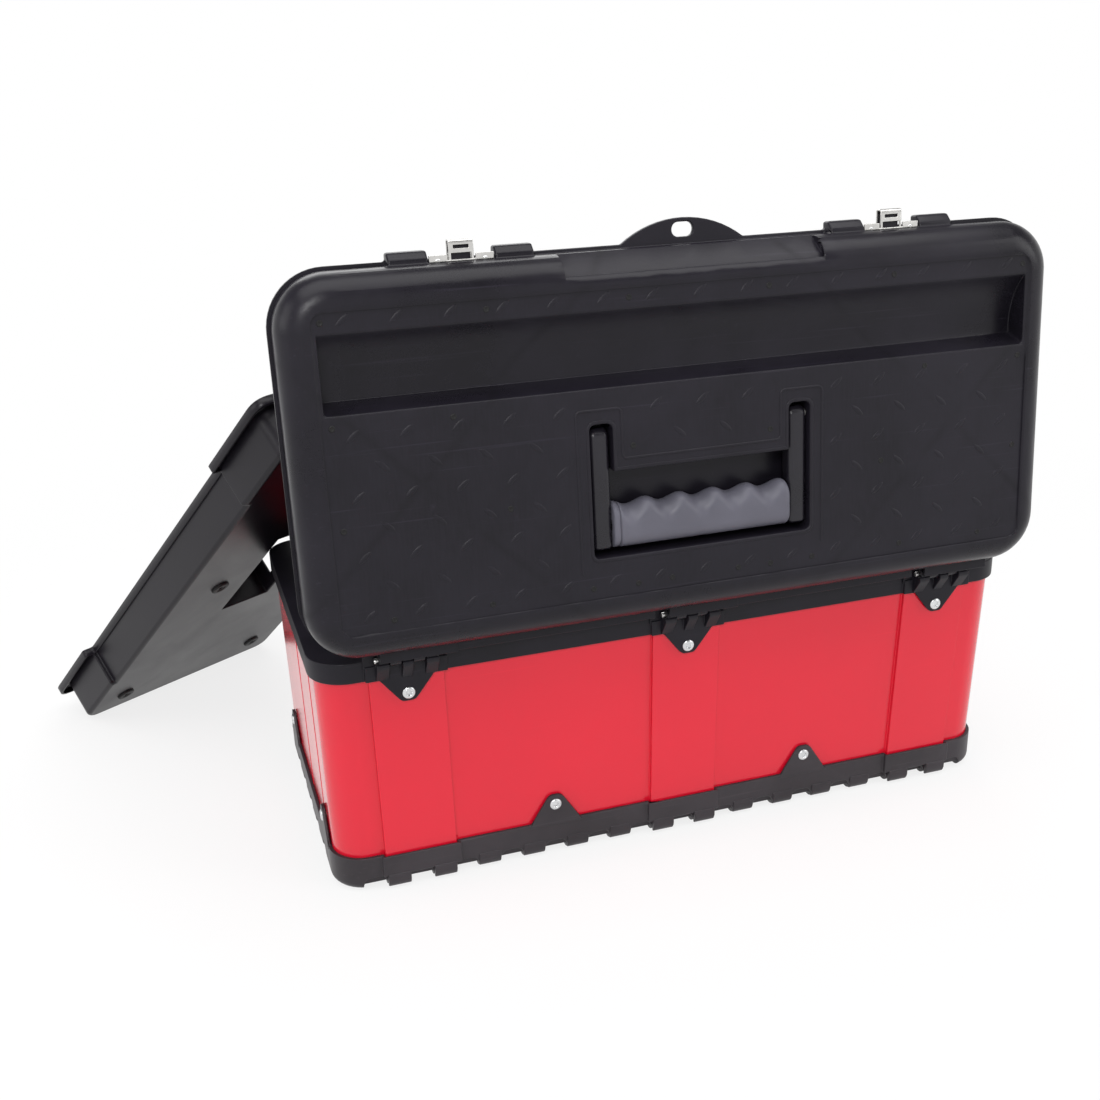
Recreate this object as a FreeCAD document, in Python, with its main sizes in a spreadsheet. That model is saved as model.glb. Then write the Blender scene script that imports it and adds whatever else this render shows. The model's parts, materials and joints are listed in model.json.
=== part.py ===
import FreeCAD, Part
import math
import os
import Sketcher

# Tool box seen from its rear: sheet-metal walls between a moulded base and a moulded rim, a moulded lid
# that stands open on three pin hinges, and a lift-out tray that leans on one corner of the rim.
# Frame: +Z up, front (clasp side) towards -Y, hinges towards +Y, origin under the middle of the base.

doc = FreeCAD.newDocument("tool_box")
sheet = doc.addObject("Spreadsheet::Sheet", "Sizes")

# Driving dimensions in millimetres, angles in degrees
DIMENSIONS = {
    # sheet-metal walls, measured at their upper edge
    "wall_half_len": 281.7,
    "wall_half_depth": 135.4,
    "end_lean": 2.8,
    "side_lean": 5.6,
    "wall_corner": 25.0,
    "sheet_thick": 1.0,
    "wall_low": 14.0,
    "wall_high": 187.0,
    "band_pitch": 218.0,
    "band_half": 27.6,
    "band_proud": 3.2,
    "seam_lap": 14.0,
    # moulded base
    "base_top": 28.0,
    "base_skirt": 2.6,
    "base_clear": 0.3,
    "base_round": 7.0,
    "floor_thick": 3.0,
    "foot_skirt": 10.0,
    "rib_half": 2.0,
    "tooth_pitch": 36.0,
    "tooth_gap": 18.0,
    "tooth_tall": 4.5,
    "arch_tall": 10.5,
    "arch_deep": 2.8,
    "arch_round": 6.0,
    "step_margin": 3.0,
    "base_tab_x": 107.7,
    "base_tab_y": 84.0,
    "base_tab_top": 52.0,
    "base_rivet_z": 43.7,
    "tab_foot_half": 22.0,
    "tab_tip_half": 5.0,
    "tab_thick": 2.6,
    # moulded rim
    "rim_low": 177.0,
    "rim_top": 193.0,
    "rim_skirt": 3.2,
    "rim_clear": 0.35,
    "band_clear": 0.6,
    "mouth_half_len": 258.0,
    "mouth_half_depth": 112.0,
    "mouth_corner": 18.0,
    "ledge_width": 6.0,
    "ledge_drop": 3.5,
    "lip_thick": 2.5,
    "lip_low": 179.0,
    "rim_tab_low": 158.0,
    "rim_rivet_z": 164.5,
    "block_half": 30.0,
    # pin hinges
    "pin_r": 2.0,
    "pin_fit": 0.05,
    "pin_rise": 1.5,
    "pin_end": 1.5,
    "knuckle_r": 5.0,
    "knuckle_gap": 0.4,
    "knuckle_wide": 7.0,
    "knuckle_pitch": 17.0,
    "knuckle_side": 0.3,
    "web_rise": 3.0,
    "open_angle": 85.6,
    # moulded lid, distances from the hinge pin
    "lid_gap": 0.3,
    "lid_set": 9.6,
    "lid_half_len": 287.0,
    "lid_depth": 260.5,
    "lid_corner": 37.0,
    "lid_crown": 31.4,
    "lid_round": 20.0,
    "lid_wall": 3.2,
    "lid_lip": 2.5,
    "lid_lip_tall": 4.0,
    "panel_half": 265.0,
    "panel_near": 30.9,
    "panel_far": 246.0,
    "panel_corner": 8.0,
    "panel_drop": 1.25,
    "trough_near": 180.2,
    "trough_slope": 6.8,
    "trough_far": 232.4,
    "trough_deep": 17.6,
    "trough_sag": 6.0,
    "trough_end": 3.0,
    "pocket_half": 84.3,
    "pocket_near": 60.0,
    "pocket_far": 156.0,
    "pocket_deep": 23.0,
    "pocket_wall": 2.4,
    "plateau_half": 67.0,
    "plateau_near": 122.0,
    "boss_wide": 10.0,
    "facet_half": 96.0,
    "facet_run": 17.0,
    "facet_fall": 22.5,
    "hasp_half": 46.0,
    "hasp_out": 15.5,
    "hasp_slot_half": 3.0,
    "hasp_slot_r": 5.0,
    "hasp_slot_round": 4.9,
    "hasp_slot_in": 8.0,
    "guard_off": 36.0,
    "guard_half": 13.5,
    "guard_out": 8.3,
    "guard_tall": 13.0,
    "guard_slope": 5.0,
    # keeper plates on the lid's front
    "keeper_clear": 0.4,
    "keeper_gap": 1.2,
    "keeper_thick": 1.5,
    "keeper_tall": 7.8,
    "hook_half": 10.0,
    "hook_out": 10.3,
    "hook_inset": 1.2,
    "keeper_rivet_x": 16.0,
    # folding handle
    "pivot_at": 146.0,
    "pivot_level": 20.5,
    "pivot_r": 3.0,
    "arm_gap": 68.8,
    "arm_wide": 14.2,
    "arm_thick": 13.0,
    "arm_end": 6.5,
    "arm_round": 5.8,
    "grip_reach": 64.0,
    "grip_wide": 34.0,
    "grip_thick": 20.0,
    "grip_round": 9.0,
    "grip_clear": 0.3,
    "core_r": 5.0,
    "scallop_off": 3.0,
    "scallop_pitch": 26.3,
    "scallop_r": 15.0,
    "scallop_deep": 5.0,
    # clasps on the box's front
    "latch_x": 160.0,
    "apron_half": 27.0,
    "apron_low": 146.0,
    "latch_half": 23.0,
    "latch_low": 149.0,
    "latch_high": 184.0,
    "latch_thick": 1.5,
    "latch_rivet_x": 18.0,
    "latch_rivet_z": 156.0,
    "clasp_pin_z": 174.0,
    "clasp_pin_r": 1.5,
    "clasp_knuckle_r": 3.6,
    "ear_off": 15.0,
    "ear_thick": 2.5,
    "clasp_thick": 1.6,
    "clasp_over": 0.5,
    "clasp_claw": 6.0,
    # blind rivets
    "rivet_r": 2.4,
    "rivet_fit": 0.05,
    "rivet_head_r": 4.75,
    "rivet_head_tall": 1.6,
    "rivet_tail_r": 3.4,
    "rivet_tail_tall": 2.0,
    # lift-out tray
    "tray_len": 486.0,
    "tray_half": 105.0,
    "tray_tall": 41.0,
    "tray_wall": 2.5,
    "tray_corner": 14.0,
    "tray_round": 4.0,
    "ear_len": 82.5,
    "ear_step": 4.0,
    "flange_thick": 2.5,
    "flange_end": 9.5,
    "flange_mid": 1.5,
    "flange_ear": 7.5,
    "slot_len": 130.0,
    "slot_half": 26.0,
    "window_len": 92.0,
    "window_low": 11.0,
    "window_tall": 19.0,
    "foot_r": 7.0,
    "foot_tall": 2.0,
    "foot_in": 34.0,
    "foot_side": 76.0,
    "foot_mid_side": 58.0,
    "tray_x": 376.0,
    "tray_y": -301.7,
    "tray_yaw": 122.4,
    "tray_seat": 0.3,
}

for row, (alias, number) in enumerate(DIMENSIONS.items(), start=1):
    sheet.set(f"A{row}", alias)
    sheet.set(f"B{row}", str(number))
    sheet.setAlias(f"B{row}", alias)
doc.recompute()


class Size:
    """A size: the sheet expression that drives it and its present number."""

    def __init__(self, text, number):
        self.text = text
        self.number = number

    def __add__(self, other):
        return joined(self, "+", other)

    def __radd__(self, other):
        return joined(other, "+", self)

    def __sub__(self, other):
        return joined(self, "-", other)

    def __rsub__(self, other):
        return joined(other, "-", self)

    def __mul__(self, other):
        return joined(self, "*", other)

    def __rmul__(self, other):
        return joined(other, "*", self)

    def __truediv__(self, other):
        return joined(self, "/", other)

    def __neg__(self):
        return joined(-1, "*", self)


def as_size(value):
    return value if isinstance(value, Size) else Size(repr(float(value)), float(value))


def joined(left, sign, right):
    left, right = as_size(left), as_size(right)
    number = {
        "+": lambda p, q: p + q,
        "-": lambda p, q: p - q,
        "*": lambda p, q: p * q,
        "/": lambda p, q: p / q,
    }[sign](left.number, right.number)
    return Size(f"({left.text} {sign} {right.text})", number)


class Sizes:
    """The sheet's cells by their alias."""


dim = Sizes()
for alias in DIMENSIONS:
    setattr(dim, alias, Size(f"Sizes.{alias}", float(sheet.get(alias))))


# Places worked out from the driving dimensions

def lean_share(level):
    """How far down the wall a level lies, as a share of the sheet's height."""
    return (dim.wall_high - level) / (dim.wall_high - dim.wall_low)


def wall_y(level):
    return dim.wall_half_depth - dim.side_lean * lean_share(level)


def wall_x(level):
    return dim.wall_half_len - dim.end_lean * lean_share(level)


def band_x(level):
    return dim.band_pitch - dim.end_lean * lean_share(level)


base_in_y = wall_y(dim.base_top) + dim.base_clear
base_in_x = wall_x(dim.base_top) + dim.base_clear
base_out_y = base_in_y + dim.base_skirt
base_out_x = base_in_x + dim.base_skirt
rim_in_y = dim.wall_half_depth + dim.rim_clear
rim_in_x = dim.wall_half_len + dim.rim_clear
rim_out_y = rim_in_y + dim.rim_skirt
rim_out_x = rim_in_x + dim.rim_skirt
rim_corner = dim.wall_corner + dim.rim_clear + dim.rim_skirt
band_face = rim_in_y + dim.band_proud
block_face = band_face + dim.tab_thick
pin_y = rim_out_y + dim.knuckle_r + dim.knuckle_gap
pin_z = dim.rim_top + dim.pin_rise
block_top = pin_z - dim.knuckle_r - dim.knuckle_gap
lid_low = dim.lid_gap - dim.pin_rise
lid_front = dim.lid_set + dim.lid_depth
keeper_base = lid_low + dim.lid_lip_tall + dim.keeper_gap
panel_level = dim.lid_crown - dim.panel_drop
pocket_floor = panel_level - dim.pocket_deep
boss_out = dim.pocket_half + dim.boss_wide
rivet_bore = dim.rivet_r + dim.rivet_fit
pin_bore = dim.pin_r + dim.pin_fit
apron_face = rim_out_y
clasp_pin_y = apron_face + dim.latch_thick + dim.clasp_knuckle_r + dim.knuckle_gap
clasp_pin_bore = dim.clasp_pin_r + dim.pin_fit
pivot_bore = dim.pivot_r + dim.pin_fit
hinge_steps = (-1, 0, 1)


# Sketch and feature helpers

NEAR = 1e-4
PLANES = {"XY": "XY_Plane", "XZ": "XZ_Plane", "YZ": "YZ_Plane"}
ORIGIN = (-1, 1)


def new_body(label):
    body = doc.addObject("PartDesign::Body", label)
    body.Label = label
    return body


def new_sketch(body, plane, level=0):
    """A sketch on one of the body's own planes, level along that plane's normal."""
    sketch = body.newObject("Sketcher::SketchObject", "Outline")
    support = [f for f in body.Origin.OriginFeatures if f.Role == PLANES[plane]][0]
    sketch.AttachmentSupport = (support, [""])
    sketch.MapMode = "FlatFace"
    sketch.setExpression("AttachmentOffset.Base.z", as_size(level).text)
    return sketch


def bind(sketch, kind, parts, size):
    size = as_size(size)
    index = sketch.addConstraint(Sketcher.Constraint(kind, *parts, size.number))
    sketch.setExpression(f"Constraints[{index}]", size.text)


def pin_point(sketch, edge, end, point):
    bind(sketch, "DistanceX", (*ORIGIN, edge, end), point[0])
    bind(sketch, "DistanceY", (*ORIGIN, edge, end), point[1])


def vector(point):
    return FreeCAD.Vector(as_size(point[0]).number, as_size(point[1]).number, 0)


def polygon(sketch, points):
    """A closed outline of straight edges."""
    first = sketch.GeometryCount
    count = len(points)
    spots = [vector(point) for point in points]
    for step in range(count):
        sketch.addGeometry(Part.LineSegment(spots[step], spots[(step + 1) % count]))
    for step in range(count):
        follower = first + (step + 1) % count
        sketch.addConstraint(Sketcher.Constraint("Coincident", first + step, 2, follower, 1))
    for step in range(count):
        pin_point(sketch, first + step, 1, points[step])


def bowed(sketch, points, edge, sag, turn=1):
    """A closed outline with one edge an arc that bows by sag to its right, or left if turn is -1."""
    first = sketch.GeometryCount
    count = len(points)
    spots = [vector(point) for point in points]
    sag = as_size(sag)
    for step in range(count):
        start, end = spots[step], spots[(step + 1) % count]
        if step == edge:
            along = end - start
            out = FreeCAD.Vector(along.y, -along.x, 0).normalize()
            sketch.addGeometry(Part.Arc(start, (start + end) / 2 + out * turn * sag.number, end))
        else:
            sketch.addGeometry(Part.LineSegment(start, end))
    arc_ends = (1, 2) if turn > 0 else (2, 1)
    for step in range(count):
        here, there = first + step, first + (step + 1) % count
        leave = arc_ends[1] if step == edge else 2
        enter = arc_ends[0] if (step + 1) % count == edge else 1
        sketch.addConstraint(Sketcher.Constraint("Coincident", here, leave, there, enter))
    for step in range(count):
        pin_point(sketch, first + step, arc_ends[0] if step == edge else 1, points[step])
    wide = joined(points[(edge + 1) % count][0], "-", points[edge][0])
    tall = joined(points[(edge + 1) % count][1], "-", points[edge][1])
    radius = (wide * wide + tall * tall) / (8 * sag) + sag / 2
    bind(sketch, "Radius", (first + edge,), radius)


def rectangle(sketch, low, high):
    polygon(sketch, [low, (high[0], low[1]), high, (low[0], high[1])])


def rounded(sketch, low, high, radius):
    """A rectangle with its four corners rounded."""
    first = sketch.GeometryCount
    x0, y0 = vector(low).x, vector(low).y
    x1, y1 = vector(high).x, vector(high).y
    r = as_size(radius).number
    point = FreeCAD.Vector
    sides = [
        (point(x0 + r, y0), point(x1 - r, y0)),
        (point(x1, y0 + r), point(x1, y1 - r)),
        (point(x1 - r, y1), point(x0 + r, y1)),
        (point(x0, y1 - r), point(x0, y0 + r)),
    ]
    centres = [point(x1 - r, y0 + r), point(x1 - r, y1 - r), point(x0 + r, y1 - r), point(x0 + r, y0 + r)]
    for step in range(4):
        start_angle = math.radians(90 * (step - 1))
        circle = Part.Circle(centres[step], point(0, 0, 1), r)
        sketch.addGeometry(Part.LineSegment(*sides[step]))
        sketch.addGeometry(Part.ArcOfCircle(circle, start_angle, start_angle + math.pi / 2))
    for step in range(4):
        line, arc, following = first + 2 * step, first + 2 * step + 1, first + (2 * step + 2) % 8
        sketch.addConstraint(Sketcher.Constraint("Tangent", line, 2, arc, 1))
        sketch.addConstraint(Sketcher.Constraint("Tangent", arc, 2, following, 1))
        sketch.addConstraint(Sketcher.Constraint("Vertical" if step % 2 else "Horizontal", line))
        if step:
            sketch.addConstraint(Sketcher.Constraint("Equal", first + 1, arc))
    bind(sketch, "Radius", (first + 1,), radius)
    bind(sketch, "DistanceY", (*ORIGIN, first, 1), low[1])
    bind(sketch, "DistanceX", (*ORIGIN, first + 2, 1), high[0])
    bind(sketch, "DistanceY", (*ORIGIN, first + 4, 1), high[1])
    bind(sketch, "DistanceX", (*ORIGIN, first + 6, 1), low[0])


def ring_of(sketch, centre, radius):
    """A circle."""
    edge = sketch.addGeometry(Part.Circle(vector(centre), FreeCAD.Vector(0, 0, 1), as_size(radius).number))
    pin_point(sketch, edge, 3, centre)
    bind(sketch, "Radius", (edge,), radius)


def pad(body, sketch, length, back=False, both=False):
    feature = body.newObject("PartDesign::Pad", "Pad")
    feature.Profile = sketch
    feature.Refine = False
    feature.setExpression("Length", as_size(length).text)
    feature.Reversed = back
    feature.SideType = "Symmetric" if both else "One side"
    return feature


def pocket(body, sketch, length=None, back=False, both=False):
    """A cut; with no length it goes through everything on both sides."""
    doc.recompute()
    before = body.Shape.Volume
    feature = body.newObject("PartDesign::Pocket", "Pocket")
    feature.Profile = sketch
    feature.Refine = False
    if length is None:
        feature.SideType = "Symmetric"
        feature.Type = "ThroughAll"
    else:
        feature.setExpression("Length", as_size(length).text)
        feature.Reversed = back
        feature.SideType = "Symmetric" if both else "One side"
    doc.recompute()
    if body.Shape.Volume >= before:
        raise RuntimeError(f"{body.Label}: a cut removed nothing")
    return feature


def edges_where(feature, test):
    doc.recompute()
    return [f"Edge{n}" for n, edge in enumerate(feature.Shape.Edges, start=1) if test(edge)]


def fillet(body, feature, edges, radius):
    rounding = body.newObject("PartDesign::Fillet", "Fillet")
    rounding.Base = (feature, edges)
    rounding.setExpression("Radius", as_size(radius).text)
    doc.recompute()
    return rounding


def lies_at(edge, level, axis="z"):
    box = edge.BoundBox
    low, high = getattr(box, axis.upper() + "Min"), getattr(box, axis.upper() + "Max")
    return abs(low - level) < NEAR and abs(high - level) < NEAR


def repeat(body, feature, axis, pitch, count):
    """Copies of a feature along one of the body's axes."""
    pattern = body.newObject("PartDesign::LinearPattern", "Pattern")
    pattern.Originals = [feature]
    line = [f for f in body.Origin.OriginFeatures if f.Role == f"{axis}_Axis"][0]
    pattern.Direction = (line, [""])
    pattern.Mode = "Spacing"
    pattern.setExpression("Offset", as_size(pitch).text)
    pattern.Occurrences = count
    body.Tip = pattern
    doc.recompute()
    return pattern


def cylinder(name, radius, length, spot, direction):
    """A plain cylinder from a spot along a direction."""
    solid = doc.addObject("Part::Cylinder", name)
    solid.setExpression("Radius", as_size(radius).text)
    solid.setExpression("Height", as_size(length).text)
    stand(solid, spot, direction)
    return solid


def stand(solid, spot, direction):
    solid.Placement.Rotation = FreeCAD.Rotation(FreeCAD.Vector(0, 0, 1), FreeCAD.Vector(*direction))
    for axis, place in zip("xyz", spot):
        solid.setExpression(f"Placement.Base.{axis}", as_size(place).text)


def rivet(name, spot, direction, grip):
    """A blind rivet: domed head outside the spot, shank and tail inside it."""
    outward = FreeCAD.Vector(*direction)
    inward = tuple(-outward)
    head = doc.addObject("Part::Cone", f"{name}_head")
    head.setExpression("Radius1", dim.rivet_head_r.text)
    head.setExpression("Radius2", dim.rivet_r.text)
    head.setExpression("Height", dim.rivet_head_tall.text)
    stand(head, spot, direction)
    shank = cylinder(f"{name}_shank", dim.rivet_r, grip, spot, inward)
    tail_spot = [place - part * grip for place, part in zip(map(as_size, spot), direction)]
    tail = cylinder(f"{name}_tail", dim.rivet_tail_r, dim.rivet_tail_tall, tail_spot, inward)
    whole = doc.addObject("Part::MultiFuse", name)
    whole.Shapes = [head, shank, tail]
    return whole


def group(label, solids):
    """Separate like solids under one name."""
    compound = doc.addObject("Part::Compound", label)
    compound.Label = label
    compound.Links = solids
    return compound


nodes = []


def keep(piece):
    """Count a finished piece; a body's last feature merges the faces its features split."""
    if piece.isDerivedFrom("PartDesign::Body"):
        piece.Tip.Refine = True
    nodes.append(piece)
    return piece


def hang_on_lid(piece):
    """Carry a piece drawn about the hinge pin, lid closed, to the open lid."""
    piece.Placement.Rotation = FreeCAD.Rotation(FreeCAD.Vector(1, 0, 0), -dim.open_angle.number)
    piece.setExpression("Placement.Base.y", pin_y.text)
    piece.setExpression("Placement.Base.z", pin_z.text)
    piece.setExpression("Placement.Rotation.Angle", (-dim.open_angle).text)
    return keep(piece)


# Sheet-metal walls

def panel_outline(sketch, level, side):
    """Plan of a long wall: flat between three raised bands, the outer bands lapping the end walls."""
    face = wall_y(level)
    inner = face - dim.sheet_thick
    band_out = face + dim.band_proud
    band_in = band_out - dim.sheet_thick
    pitch = band_x(level)
    outer_edge, inner_edge = [], []
    for step in hinge_steps:
        left, right = step * pitch - dim.band_half, step * pitch + dim.band_half
        outer_edge += [(left, face), (left, band_out), (right, band_out), (right, face)]
        foot_left = face if step == -1 else inner
        foot_right = face if step == 1 else inner
        inner_left, inner_right = left + dim.sheet_thick, right - dim.sheet_thick
        inner_edge += [(inner_left, foot_left), (inner_left, band_in)]
        inner_edge += [(inner_right, band_in), (inner_right, foot_right)]
    polygon(sketch, [(x, side * y) for x, y in outer_edge + inner_edge[::-1]])


def loft_walls(body, draw, cut=False):
    """A leaning wall between its plans at the sheet's lower and upper edges."""
    low = new_sketch(body, "XY", dim.wall_low)
    draw(low, dim.wall_low)
    high = new_sketch(body, "XY", dim.wall_high)
    draw(high, dim.wall_high)
    loft = body.newObject("PartDesign::SubtractiveLoft" if cut else "PartDesign::AdditiveLoft", "Loft")
    loft.Profile = low
    loft.Sections = [high]
    loft.Ruled = True
    doc.recompute()


def make_panel(label, side):
    body = new_body(label)
    loft_walls(body, lambda sketch, level: panel_outline(sketch, level, side))
    holes = new_sketch(body, "XZ")
    for step in hinge_steps:
        ring_of(holes, (step * band_x(dim.rim_rivet_z), dim.rim_rivet_z), rivet_bore)
    for step in (-1, 1):
        ring_of(holes, (step * dim.base_tab_x, dim.base_rivet_z), rivet_bore)
        if side < 0:
            for wing in (-1, 1):
                spot = (step * dim.latch_x + wing * dim.latch_rivet_x, dim.latch_rivet_z)
                ring_of(holes, spot, rivet_bore)
    pocket(body, holes)
    return keep(body)


def make_end(label, side):
    """An end wall: a bent sheet whose two returns tuck under the long walls' outer bands."""
    body = new_body(label)
    seam = dim.band_pitch + dim.band_half - dim.seam_lap

    def draw(sketch, level, inset):
        out_x, out_y = wall_x(level) - inset, wall_y(level) - inset
        rounded(sketch, (-out_x, -out_y), (out_x, out_y), dim.wall_corner - inset)

    loft_walls(body, lambda sketch, level: draw(sketch, level, 0))
    loft_walls(body, lambda sketch, level: draw(sketch, level, dim.sheet_thick), cut=True)
    rest = new_sketch(body, "XY")
    past = 2 * dim.wall_half_len
    low_x, high_x = (-past, seam) if side > 0 else (-seam, past)
    rectangle(rest, (low_x, -dim.wall_half_len), (high_x, dim.wall_half_len))
    pocket(body, rest)
    holes = new_sketch(body, "YZ")
    for step in (-1, 1):
        ring_of(holes, (step * dim.base_tab_y, dim.base_rivet_z), rivet_bore)
    pocket(body, holes)
    return keep(body)


# Moulded base

def tab_points(middle, foot_level, tip_level):
    """A triangular tab with a blunt tip."""
    return [
        (middle - dim.tab_foot_half, foot_level),
        (middle + dim.tab_foot_half, foot_level),
        (middle + dim.tab_tip_half, tip_level),
        (middle - dim.tab_tip_half, tip_level),
    ]


def make_base():
    body = new_body("base_pan")
    outline = new_sketch(body, "XY")
    corner = dim.wall_corner + dim.base_clear + dim.base_skirt
    rounded(outline, (-base_out_x, -base_out_y), (base_out_x, base_out_y), corner)
    shell = pad(body, outline, dim.base_top)
    fillet(body, shell, edges_where(shell, lambda edge: lies_at(edge, 0.0)), dim.base_round)

    steps = new_sketch(body, "XY", dim.wall_low - dim.floor_thick)
    step_half = dim.band_half + dim.step_margin
    step_face = base_out_y + dim.band_proud
    for step in hinge_steps:
        middle = step * band_x(dim.base_top)
        rectangle(steps, (middle - step_half, -step_face), (middle + step_half, step_face))
    pad(body, steps, dim.base_top - dim.wall_low + dim.floor_thick)

    for side in (-1, 1):
        face = wall_y(dim.base_tab_top) + dim.base_clear
        tabs = new_sketch(body, "XZ", -side * (face + dim.tab_thick))
        for step in (-1, 1):
            foot_level = dim.base_top - dim.base_skirt
            polygon(tabs, tab_points(step * dim.base_tab_x, foot_level, dim.base_tab_top))
        pad(body, tabs, dim.tab_thick, back=side < 0)
        face = wall_x(dim.base_tab_top) + dim.base_clear
        tabs = new_sketch(body, "YZ", side * face)
        for step in (-1, 1):
            foot_level = dim.base_top - dim.base_skirt
            polygon(tabs, tab_points(step * dim.base_tab_y, foot_level, dim.base_tab_top))
        pad(body, tabs, dim.tab_thick, back=side < 0)

    hollow = new_sketch(body, "XY", dim.wall_low)
    inner_corner = dim.wall_corner + dim.base_clear
    rounded(hollow, (-base_in_x, -base_in_y), (base_in_x, base_in_y), inner_corner)
    pocket(body, hollow, dim.base_tab_top, back=True)
    slots = new_sketch(body, "XY", dim.wall_low)
    slot_half = dim.band_half + dim.band_clear
    slot_face = base_in_y + dim.band_proud
    for step in hinge_steps:
        middle = step * band_x(dim.base_top)
        rectangle(slots, (middle - slot_half, -slot_face), (middle + slot_half, slot_face))
    pocket(body, slots, dim.base_top, back=True)

    under = new_sketch(body, "XY")
    rounded(
        under,
        (dim.foot_skirt - base_out_x, dim.foot_skirt - base_out_y),
        (base_out_x - dim.foot_skirt, base_out_y - dim.foot_skirt),
        corner - dim.foot_skirt,
    )
    pocket(body, under, dim.wall_low - dim.floor_thick, back=True)

    half = dim.tooth_gap / 2
    runs = (("XZ", -1, "X", base_out_x - corner, base_out_y), ("YZ", 1, "Y", base_out_y - corner, base_out_x))
    for plane, facing, axis, reach, face in runs:
        count = 2 * int(reach.number // dim.tooth_pitch.number) + 1
        first = -dim.tooth_pitch * (count // 2)
        gap = new_sketch(body, plane)
        rectangle(gap, (first - half, -dim.tooth_tall), (first + half, dim.tooth_tall))
        cut = pocket(body, gap)
        repeat(body, cut, axis, dim.tooth_pitch, count)
        for side in (-1, 1):
            arch = new_sketch(body, plane, facing * side * (face - dim.arch_deep))
            rounded(arch, (first - half, -dim.arch_tall), (first + half, dim.arch_tall), dim.arch_round)
            cut = pocket(body, arch, dim.arch_deep * 2, back=facing * side > 0)
            repeat(body, cut, axis, dim.tooth_pitch, count)

    reach_x, reach_y = base_out_x - dim.foot_skirt, base_out_y - dim.foot_skirt
    for half_x, half_y in ((reach_x, dim.rib_half), (dim.rib_half, reach_y)):
        rib = new_sketch(body, "XY")
        rectangle(rib, (-half_x, -half_y), (half_x, half_y))
        pad(body, rib, dim.wall_low - dim.floor_thick)

    holes = new_sketch(body, "XZ")
    for step in (-1, 1):
        ring_of(holes, (step * dim.base_tab_x, dim.base_rivet_z), rivet_bore)
    pocket(body, holes)
    holes = new_sketch(body, "YZ")
    for step in (-1, 1):
        ring_of(holes, (step * dim.base_tab_y, dim.base_rivet_z), rivet_bore)
    pocket(body, holes)
    return keep(body)


# Moulded rim with the box's half of the hinges

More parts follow.
